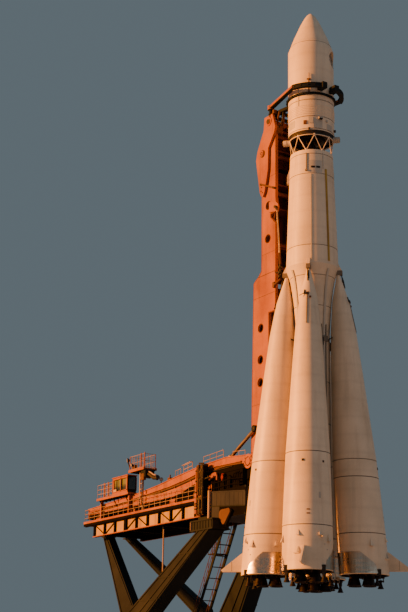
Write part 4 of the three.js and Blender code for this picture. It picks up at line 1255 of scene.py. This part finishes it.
def build_frame():
    wear("frame_beams", ORANGE)
    body = Body()
    for body.side in (-1, 1):
        body.beams(BEAM_TOP, 0.4, 0.05, 0, 1.74)
        # The lower flange is near-black: painted shade under the beam.
        body.beams(BEAM_BASE, 0.4, 0.05, 3, 1.74)
        # Near-black plates on the beam's face: painted shade under the arch and along the beam's
        # lower edge.
        for shade in (DEEP_SHADE, ARCH_SHADE):
            body.prism(shade, BEAM_Y, 1.926, 3)
        body.beams(BEAM_LEDGE, 0.2, 0.05, 0, BEAM_Y)
        # A dark strip under the ledge: painted shadow of the ledge.
        body.beams(BEAM_LEDGE, 0.05, 0.13, 1, BEAM_Y, -0.08)
        for x in spaced(-7.2, -4.1, 5):
            body.beam((x, BEAM_Y, between(BEAM_BASE, x) + 0.04),
                      (x, BEAM_Y, between(BEAM_LEDGE, x) - 0.1), 0.05, 0.03, 0, UP_X)
        for i, x in enumerate(spaced(-11.2, -0.66, 9)):
            z = between(BEAM_LEDGE, x) - 0.34
            body.box((x, x + 0.3), (BEAM_Y, 1.918), (z - 0.16, z + 0.04))
            if i % 3 == 0:
                body.box((x + 0.1, x + 0.2), (BEAM_Y, 1.98), (z + 0.1, z + 0.24), 1)
        body.tube([(x, 1.95, between(BEAM_LEDGE, x) - 0.2)
                   for x in (-6.0, -9.0, -11.0, -13.0, -16.0)], 0.035, 2)
        body.ring(*PIVOT, 0.3, 0.46, BEAM_Y, 1.95)
        for c, s in circle(10):
            x, z = PIVOT[0] + 0.38 * c, PIVOT[1] + 0.38 * s
            if 8.08 < z < 8.72:
                body.tube([(x, 1.93, z), (x, 1.98, z)], 0.03, 2)
        # Near-black plates set back behind the beams close the gaps below them: painted shade.
        body.boxes(((-24.9, -10.4), (1.6, 1.64), (DECK_TOP + 0.01, 7.22), 3),
                   ((-8.4, -3.7), (1.6, 1.64), (6.91, 8.04), 3))
    body.box((-25.75, -25.6), (-1.9, 1.9), (6.9, 7.7))
    for y in (-1.2, 0.0, 1.2):
        body.beam((-25.76, y, 6.92), (-25.76, y, 7.68), 0.05, 0.08, 1, UP_Y)
    make("frame_flanges", body, (ORANGE, RUST, BLACK, SHADE_BLACK), PLATFORM, ())

    rails = Body()
    top = lambda x, lift=0.02: (x, 1.72, between(BEAM_TOP, x) + lift)
    for rails.side in (-1, 1):
        for ends, height, spacing, shares, thick in (
            ((-11.2, -12.3), 0.62, 0.6, (0.55, 1.0), 0.022),
            ((-12.7, -13.4), 0.5, 0.35, (1.0,), 0.018),
            ((-7.4, -8.2, -9.0, -9.8), 0.6, 0.8, (0.5, 1.0), 0.018),
            ((-4.9, -5.6, -6.3), 0.34, 0.7, (1.0,), 0.016),
        ):
            rails.railing([top(x) for x in ends], height, spacing, shares, 1, thick)
        rails.tube([top(-11.2, 0.64), (-11.2, 1.88, 9.35), (-12.3, 1.88, 9.2), top(-12.3, 0.64)],
                   0.02, 1, 6)
        x, y, z = top(-14.1)
        rails.box((x - 0.15, x + 0.15), (1.62, 1.84), (z, z + 0.22), 3)
        rails.tube([(x, y, z + 0.2), (x, y, z + 0.42)], 0.05, 3, 10)
        x, y, z = top(-15.3)
        rails.tube([(x, y, z), (x, y, z + 0.3)], 0.025)
        rails.floodlight((x, y, z + 0.4), (0.9, 0.5, 0.1), 2, 0.13, 0)
        for x, lift, r in ((-10.4, 0.1, 0.1), (-10.0, 0.16, 0.07)):
            rails.tube([top(x, 0.0), top(x, lift)], r, 3, 14)
    make("frame_railings", rails, (DARK, PALE, LAMP, RUST), PLATFORM, ())


def deck_rule(center, normal):
    """Orange outside; near-black painted shade inside, below and on the columns' faces towards the
    rocket; brown on the rest of the columns.
    """
    across = abs(center.y - AXIS_Y) / SCALE
    inside = across < 2.1 and center.z < (6.5 - FLOOR) * SCALE
    column = across > 2.1 and center.x > AXIS_X + (COLUMN_X[0] - 0.1) * SCALE
    if normal.z < -0.5 or inside or (column and normal.x > 0.5):
        return 1
    return 2 if column else 0


def build_deck():
    wear("deck", ORANGE, SHADE_BLACK, RUST, rule=deck_rule)
    body = Body()
    for body.side in (-1, 1):
        # The band below the deck's edge and the rail under the walkway are near-black: painted
        # shade.
        body.boxes((DECK_X, (2.15, 2.24), (6.52, 6.68)), (DECK_X, (2.15, 2.225), (6.34, 6.52), 3),
                   (DECK_X, (1.92, 2.14), (6.601, 6.63), 1),
                   ((-25.7, -9.42), (2.02, 2.16), (6.3, 6.39), 3))
        body.railing([(x, WALK_Y, DECK_TOP) for x in (-25.74, -9.45)], 0.95, 0.75, RAILS, 2, 0.017)
    body.railing([(-25.74, y, DECK_TOP) for y in (-WALK_Y, WALK_Y)], 0.95, 0.72, RAILS, 2, 0.017)
    body.box((FAR_END - 0.03, FAR_END + 0.05), (-2.2, 2.2), (6.4, 6.7))
    # Cross beams and stringers under the deck are near-black: painted shade.
    for x in spaced(-24.9, 0.82, 20):
        body.box((x, x + 0.03), (-1.84, 1.84), (6.3, 6.45), 3)
    for y in (-1.2, -0.4, 0.4, 1.2):
        body.box((-24.4, -8.6), (y - 0.05, y + 0.05), (6.2, 6.449), 3)
    for y in (-1.5, 1.35):
        body.box((-24.2, -8.8), (y, y + 0.15), (5.75, 5.95), 3)
    make("deck_edges", body, (ORANGE, RUST, PALE, SHADE_BLACK), PLATFORM, ())

    width = 1.57
    for word, side in SIDES:
        panels, posts = Body(), Body()
        panels.side = posts.side = side
        # The back plate behind the panels, the posts and the diagonals are near-black: painted
        # shade.
        panels.box(GIRDER_X, (1.9, 1.98), (5.44, 6.449), 1)
        posts.boxes((GIRDER_X, (2.02, 2.16), (5.44, 5.5)), (GIRDER_X, (1.86, 2.02), (5.44, 5.5), 1),
                    (GIRDER_X, (1.86, 2.14), (6.33, 6.449), 1))
        for i, x in enumerate(spaced(-24.3, width, 11)):
            wide = 0.16 if i == 3 else 0.08
            posts.box((x - wide, x + wide), (1.985, 2.13), (5.5, 6.33), 1)
            if i == 10:
                continue
            panels.box((x + 0.09, x + width - 0.09), (1.975, 2.0), (5.5, 6.28))
            if i % 3 != 2:
                near, far = (5.54, 6.3) if i % 2 else (6.3, 5.54)
                posts.beam((x + 0.07, 2.04, near), (x + width - 0.07, 2.04, far), 0.05, 0.05, 1)
        make(f"girder_panels_{word}", panels, (OCHRE, SHADE_BLACK), PLATFORM, (f"side_girder_{word}",))
        make(f"girder_posts_{word}", posts, (ORANGE, SHADE_BLACK), PLATFORM, ())
    build_columns()


def build_columns():
    """Pipes, clamps and fittings on the two columns at the deck's end."""
    rng = random.Random(11)
    body = Body()
    x0, x1 = COLUMN_X
    for body.side in (-1, 1):
        body.box((x0 - 0.03, x1 + 0.03), (2.15, 2.53), (6.5, 6.62), 1)
        body.box((x0 - 0.02, x1 + 0.02), (2.2, 2.53), (8.62, 8.75), 1)
        for x, r, low, high, slot in (
            (-9.29, 0.09, 6.65, 8.6, 3), (-9.06, 0.09, 6.75, 8.75, 0), (-8.78, 0.09, 6.75, 8.5, 1),
            (-9.2, 0.15, 5.55, 6.45, 3), (-8.85, 0.12, 5.5, 6.45, 1), (-8.58, 0.08, 5.5, 8.7, 1),
        ):
            y = 2.5 + r * 0.6
            body.tube([(x, y, low), (x, y, high)], r, slot, 14)
            for z in (low + 0.25, (low + high) / 2, high - 0.3):
                body.tube([(x, y, z), (x, y, z + 0.09)], r + 0.025, 1, 14)
        body.tube([(-8.3, 2.2, 5.12), (-8.3, 2.2, 7.0)], 0.1, 2, 14)
        for z in (7.2, 7.75, 8.2):
            body.tube([(-9.45, 2.56, z), (-8.4, 2.6, z + 0.05)], 0.04, 1)
        for k in range(16):
            x, z = -9.5 + 1.5 * rng.random(), 7.7 + 1.15 * rng.random()
            y = 2.2 + 0.32 * rng.random()
            ahead = (x + 0.4 * rng.random(), y - 0.2 * rng.random(),
                     z + 0.3 * (rng.random() - 0.4))
            body.tube([(x, y, z), ahead], 0.045 + 0.05 * rng.random(), (0, 1, 1, 3)[k % 4], 10)
        for x, z, slot in ((-9.25, 5.62, 2), (-9.0, 5.55, 0), (-8.7, 5.58, 0)):
            body.tube([(x, 2.6, z), (x + 0.12, 2.68, z + 0.22)], 0.045, slot, 10)
    make("column_pipes", body, (RUST, BLACK, PALE, ORANGE), PLATFORM, ())


def build_pedestal():
    """The grey block under the boom's hinge, with the plant on it."""
    front = -4.29
    face = (2.1, 2.116)
    body = Body()
    # The block's grey is darkened: partly painted shade.
    body.box((-8.399, -4.3), (-2.1, 2.1), (5.101, 6.9))
    for body.side in (-1, 1):
        for x in spaced(-8.1, 0.5, 8):
            fall = 0.09 * (x + 8.4)
            body.box((x, x + 0.04), (2.1, 2.112), (6.04 - fall, 6.84 - fall))
        for rise, slot in ((6.92, 0), (6.0, 1)):
            body.beam((-8.4, 2.1, rise), (front, 2.1, rise - 0.37), 0.05, 0.07, slot)
        # Near-black patches on the face: painted shade.
        body.prism([(-8.38, 6.9), (front, 6.9), (front, 6.56)], *face, 3)
        body.prism([(-7.2, 5.11), (-7.2, 5.86), (front, 5.61), (front, 5.11)], *face, 3)
        gusset = [(-6.97, 5.15), (-6.97, 5.35), (-6.9, 5.5), (-6.75, 5.6), (-5.86, 5.62),
                  (-5.74, 5.52), (-5.74, 5.36), (-6.2, 4.85), (-6.4, 4.66), (-6.56, 4.66)]
        body.prism(gusset, 2.08, 2.3, 2)
        body.beam((-5.62, 2.2, 5.5), (-6.3, 2.2, 4.62), 0.2, 0.16, 3, UP_Y)
    for y in spaced(-2.0, 0.65, 7):
        body.box((-4.3, -4.25), (y, y + 0.08), (5.2, 6.8))
    # The last box, a slab on top, is near-black: painted shade.
    body.boxes(((-4.33, -4.22), (-2.12, 2.12), (6.78, 6.9), 1),
               ((-4.33, -4.22), (-2.12, 2.12), (5.101, 5.2), 1),
               ((-8.0, -4.6), (-1.5, 1.5), (6.9, 7.1), 3))
    make("pedestal_block", body, (GREY, DARK, RUST, SHADE_BLACK), PLATFORM, ("pedestal",))

    # The plant is near-black but for a few orange and red parts: painted shade under the arch.
    plant = Body()
    rng = random.Random(5)
    for plant.side in (-1, 1):
        plant.box((-8.4, -4.9), (1.66, 1.9), (6.901, 8.03), 3)
        for x, wide, high in ((-8.3, 0.5, 7.8), (-7.5, 0.7, 7.4), (-6.5, 0.4, 7.7),
                              (-5.8, 0.8, 7.25)):
            plant.box((x, x + wide), (1.9, 2.03), (6.901, high))
        for k, x in enumerate(spaced(-8.4, 0.26, 14)):
            z = 7.4 + 0.5 * rng.random()
            y = 2.0 + 0.1 * rng.random()
            plant.tube([(x, y, 6.95), (x + 0.05, y, z), (x + 0.3, y - 0.1, z + 0.1)], 0.035,
                       1 if k % 3 else 0)
        for z in (7.1, 7.45):
            plant.tube([(-8.5, 2.07, z), (-6.0, 2.07, z + 0.05), (-4.6, 2.05, z - 0.05)], 0.035, 1)
        plant.prism([(-8.4, 7.86), (-7.7, 7.92), (-7.66, 8.08), (-7.8, 8.16), (-8.4, 8.1)],
                    1.98, 2.1, 2)
        plant.tubes(([(-6.9, 1.96, 7.35), (-6.9, 1.96, 7.9)], 0.15, 1, 20),
                    ([(-7.74, 2.04, 8.02), (-7.62, 2.06, 7.86), (-7.62, 2.06, 7.62)], 0.07, 2, 12),
                    ([(-6.95, 1.98, 7.72), (-6.95, 2.12, 7.72)], 0.13, 4, 20))
        plant.box((-7.06, -6.84), (1.98, 2.08), (7.5, 7.95), 4)
    make("hinge_plant", plant, (SHADE_BLACK, SHADE_BLACK, ORANGE, SHADE_BLACK, VALVE), PLATFORM, ())


CABIN_X = (-21.2, -19.0)
CABIN_Y = (-2.35, -1.62)
CABIN_TOP = 9.4
WINDOW_Z = (8.35, 9.25)
CABIN_FLOOR_X = (-23.6, -18.85)
CABIN_FLOOR = 8.15


def build_cabin():
    # The cabin's downward faces are dark: painted shade.
    wear("cabin", ORANGE, DARK, rule=lambda center, normal: normal.z < -0.5)
    wear("cabin_glass", GLASS)
    body = Body()
    (x0, x1), (y0, y1), (w0, w1), z1 = CABIN_X, CABIN_Y, WINDOW_Z, CABIN_TOP
    f0, f1 = CABIN_FLOOR_X
    for y in (y0 - 0.01, y1 + 0.01):
        for x, wide, slot in ((x0 + 0.03, 0.07, 0), (x0 + 0.63, 0.025, 1), (x0 + 1.24, 0.07, 0),
                              (x0 + 1.3, 0.03, 1), (x1 - 0.03, 0.08, 0)):
            body.beam((x, y, w0 - 0.02), (x, y, w1 + 0.02), 0.05, wide, slot, UP_X)
        for z in (w0, w1):
            body.beam((x0, y, z), (x1, y, z), 0.05, 0.06)
        body.box((x0 + 0.12, x0 + 0.6), (y - 0.006, y + 0.006), (w0 + 0.02, w0 + 0.2), 5)
    rail = [(x, y, CABIN_FLOOR) for x, y in (
        (x0 - 0.05, y0 + 0.03), (f0 + 0.05, y0 + 0.03), (f0 + 0.05, y1 - 0.03),
        (x0 - 0.05, y1 - 0.03))]
    body.railing(rail, 1.0, 0.55, (0.33, 0.66, 1.0), 5, 0.017)
    for x in (-22.6, -22.0):
        body.box((x, x + 0.07), (y0 + 0.02, y0 + 0.08), (CABIN_FLOOR, 9.25))
    for x in (-23.2, -21.2, -19.4):
        body.beam((x, y0 + 0.05, 8.0), (x, -1.93, 7.4), 0.06, 0.06, 1)
    for x in spaced(f0 + 0.3, 0.58, 8):
        body.box((x, x + 0.05), (y0 + 0.03, y1 - 0.03), (7.97, 8.03), 1)
    body.boxes(((x0 - 0.05, x1 + 0.05), (y0 - 0.05, y1 + 0.05), (z1 - 0.03, z1 + 0.03)),
               ((x1 - 0.001, x1 + 0.02), (y0 + 0.02, y1 - 0.02), (8.16, z1 - 0.02), 1),
               ((x1 + 0.01, x1 + 0.03), (y0 + 0.1, y1 - 0.1), (8.4, 9.28), 4),
               (CABIN_FLOOR_X, (y0 - 0.03, y0 + 0.02), (8.0, 8.17)),
               ((f0 + 0.1, f1 - 0.1), (y0 + 0.04, y1 - 0.04), (8.151, 8.16), 1))
    make("cabin_details", body, (ORANGE, DARK, BLACK, LAMP, DARK_GLASS, PALE), PLATFORM, ())


HIGH_X = (-18.65, -16.5)
HIGH_Y = (-2.45, -1.45)
HIGH_FLOOR = 9.6


def build_high_platform():
    wear("high_platform", ORANGE, PALE,
         rule=lambda center, normal: center.z < (9.45 - FLOOR) * SCALE)
    body = Body()
    (x0, x1), (y0, y1) = HIGH_X, HIGH_Y
    a, b, c, d = x0 + 0.05, x1 - 0.05, y0 + 0.05, y1 - 0.05
    body.railing([(x, y, HIGH_FLOOR) for x, y in ((a, c), (b, c), (b, d), (a, d), (a, c))],
                 1.0, 0.36, (0.08, 0.5, 1.0), 5, 0.016)
    for x in spaced(x0 + 0.2, 0.3, 7):
        body.box((x, x + 0.03), (y0 + 0.02, y1 - 0.02), (9.42, 9.5), 1)
    for x in (x1 - 0.05, x1 - 0.55):
        body.box((x, x + 0.06), (y0 + 0.02, y0 + 0.08), (HIGH_FLOOR, 10.68))
    body.boxes(((x0 - 0.02, x1 + 0.02), (y0 - 0.04, y0 + 0.02), (9.46, 9.64)),
               ((x0 - 0.02, x1 + 0.02), (y1 - 0.02, y1 + 0.04), (9.46, 9.64)),
               ((-17.08, -16.45), (-2.36, -1.62), (8.95, 9.49), 1),
               ((-17.0, -16.6), (-2.4, -2.2), (8.75, 9.2), 4),
               ((-18.45, -18.1), (-2.35, -2.1), (HIGH_FLOOR, 10.0), 4))
    body.tubes(
        ([(-16.6, -2.1, 9.2), (-16.15, -2.1, 9.05), (-15.7, -2.1, 8.8), (-15.25, -2.1, 8.72)],
         [0.12, 0.12, 0.15, 0.13], 2, 16),
        ([(-16.5, -2.1, 9.36), (-16.1, -2.1, 9.2), (-15.7, -2.1, 9.0), (-15.4, -2.1, 8.95)], 0.05,
         5, 10),
        ([(-15.3, -2.1, 8.7), (-15.12, -2.1, 8.78)], 0.16, 2, 18),
        ([(-19.1, -2.3, 10.35), (-18.6, -2.38, 9.75)], 0.04, 1),
        ([(-17.15, -2.2, 9.5), (-17.15, -2.2, 7.2), (-16.9, -2.2, 6.9), (-16.3, -2.2, 6.85)],
         0.03, 2))
    body.floodlight((-19.15, -2.3, 10.45), (-0.4, -1, -0.1), 3, 0.17)
    body.floodlight((-18.3, -2.46, 10.0), (-0.2, -1, -0.3), 3, 0.12)
    make("high_platform_details", body, (ORANGE, DARK, BLACK, LAMP, RUST, PALE), PLATFORM, ())


LEG_BASE = -1.2
NEAR_SPLAY = (1.6, 1.1, 4.45, 0.28)
FAR_SPLAY = (0.6, 0.6, 5.6, 0.366)


def on_leg(splay, x, z, share):
    """A point of a splayed leg; share runs from its inner face to its outer face."""
    inner, width, top, rate = splay
    return (x, inner + width * share + rate * (top - z), z)


def build_supports():
    for word, side in SIDES:
        wear(f"near_leg_{word}", DARK)
        wear(f"far_leg_{word}", DARK)
        wear(f"footing_{word}", CONCRETE)
        body, base = Body(), Body()
        body.side = base.side = side
        for splay, wide, start, end in (
            (NEAR_SPLAY, 0.1, (-7.5, 4.4), (-13.3, -1.1)),
            (NEAR_SPLAY, 0.1, (-8.0, 4.4), (-14.3, -1.1)),
            (NEAR_SPLAY, 0.1, (-8.75, 4.4), (-15.85, -1.1)),
            (FAR_SPLAY, 0.08, (-24.0, 5.5), (-16.3, 0.1)),
            (FAR_SPLAY, 0.08, (-24.35, 5.5), (-16.6, -1.0)),
        ):
            for share in (-0.01, 1.01):
                body.beam(on_leg(splay, *start, share), on_leg(splay, *end, share), wide, wide, 0,
                          UP_Y)
        for fall in (0.25, 0.5, 0.75):
            z = 4.45 - 5.65 * fall
            body.beam(on_leg(NEAR_SPLAY, -7.35 - 5.75 * fall, z, 1.01),
                      on_leg(NEAR_SPLAY, -8.9 - 7.2 * fall, z, 1.01), 0.08, 0.04, 0, UP_Y)
        for i, x in enumerate(spaced(-9.5, 0.34, 8)):
            depth, slot = (0.05, 0) if i else (0.2, 3)
            body.beam((x, 2.76, 4.5), (x, 2.76, 5.0), 0.04, depth, slot, UP_Y)
        body.boxes(((-9.65, -6.95), (1.45, 2.8), (5.0, 5.1)),
                   ((-9.65, -6.95), (1.45, 2.8), (4.4, 4.5)),
                   ((-24.6, -23.8), (0.5, 1.3), (5.5, 5.58), 1),
                   ((-17.3, -12.95), (2.9, 4.7), (LEG_BASE + GAP, -1.08)))
        for x in spaced(-17.1, 0.78, 6):
            for y in (3.0, 4.6):
                body.tube([(x, y, -1.1), (x, y, -0.95)], 0.05, 2)
        make(f"leg_strips_{word}", body, (DARK, GREY, BLACK, PALE), PLATFORM, ())
        base.box((-19.56, 4.0), (2.76, 4.8), (FLOOR + GAP, -5.8))
        for x in (-18.5, -10.5, -6.5, -2.5, 1.5):
            base.box((x, x + 0.05), (2.79, 4.8), (-5.8, -5.39), 1)
        make(f"footing_edge_{word}", base, (CONCRETE, SEAM), PLATFORM, ())
    pipe = Body()
    pipe.tube([(-15.0, -1.6, 5.8), (-15.0, -1.6, FLOOR + GAP)], 0.05, 1, 12)
    pipe.tube([(-15.0, -1.6, 5.6), (-15.0, -1.6, 5.2)], 0.09, 0, 12)
    make("drain_pipe", pipe, (DARK, PALE), PLATFORM, ())


def build_stair():
    wear("access_stair", DARK)
    body = Body()
    top, foot = Vector((-8.75, 0, 5.599)), Vector((-15.2, 0, FLOOR + GAP))
    at = top.lerp(foot, 0.2)
    paths = [[top + Vector((-0.3, y, -0.3)), foot + Vector((-0.1, y, 0))] for y in (-0.5, 0.5)]
    for path in paths:
        body.railing(path, 0.95, 1.0, (0.5, 1.0), 0, 0.02)
    body.railing([(at.x - 0.98, y, at.z) for y in (-0.48, 0.48)], 0.95, 0.5, (0.5, 1.0), 0, 0.02)
    body.box((at.x - 1.0, at.x - 0.2), (-0.5, 0.5), (at.z - 0.06, at.z), 1)
    make("stair_rails", body, (RUST, DARK), PLATFORM, ())


# Floor and light

FLOOR_HALF = 220.0
FLOOR_DROP = -0.001


def add_stage():
    corners = ((-1, -1), (1, -1), (1, 1), (-1, 1))
    mesh = bpy.data.meshes.new("floor")
    mesh.from_pydata([(x * FLOOR_HALF, y * FLOOR_HALF, FLOOR_DROP) for x, y in corners], [],
                     [(0, 1, 2, 3)])
    mesh.materials.append(Paint("pale_floor", (0.42, 0.50, 0.56), 0.8).material)
    show("floor", mesh)

    world = bpy.data.worlds.new("studio")
    world.use_nodes = True
    back = world.node_tree.nodes["Background"]
    back.inputs["Color"].default_value = (0.42, 0.54, 0.62, 1)
    back.inputs["Strength"].default_value = 0.27
    bpy.context.scene.world = world

    for name, azimuth, elevation, energy, color, spread in (
        ("key", -116.0, 13.0, 12.5, (1.0, 0.32, 0.04), 6.0),
        ("fill", 10.0, 35.0, 0.2, (0.82, 0.9, 1.0), 60.0),
    ):
        data = bpy.data.lights.new(name, "SUN")
        data.energy = energy
        data.color = color
        data.angle = math.radians(spread)
        lamp = show(name, data)
        a, e = math.radians(azimuth), math.radians(elevation)
        toward = Vector((math.cos(a) * math.cos(e), math.sin(a) * math.cos(e), math.sin(e)))
        lamp.rotation_mode = "QUATERNION"
        lamp.rotation_quaternion = toward.to_track_quat("Z", "Y")


add_camera()
build_rocket()
build_boom()
build_cylinders()
build_frame()
build_deck()
build_pedestal()
build_cabin()
build_high_platform()
build_supports()
build_stair()
add_stage()
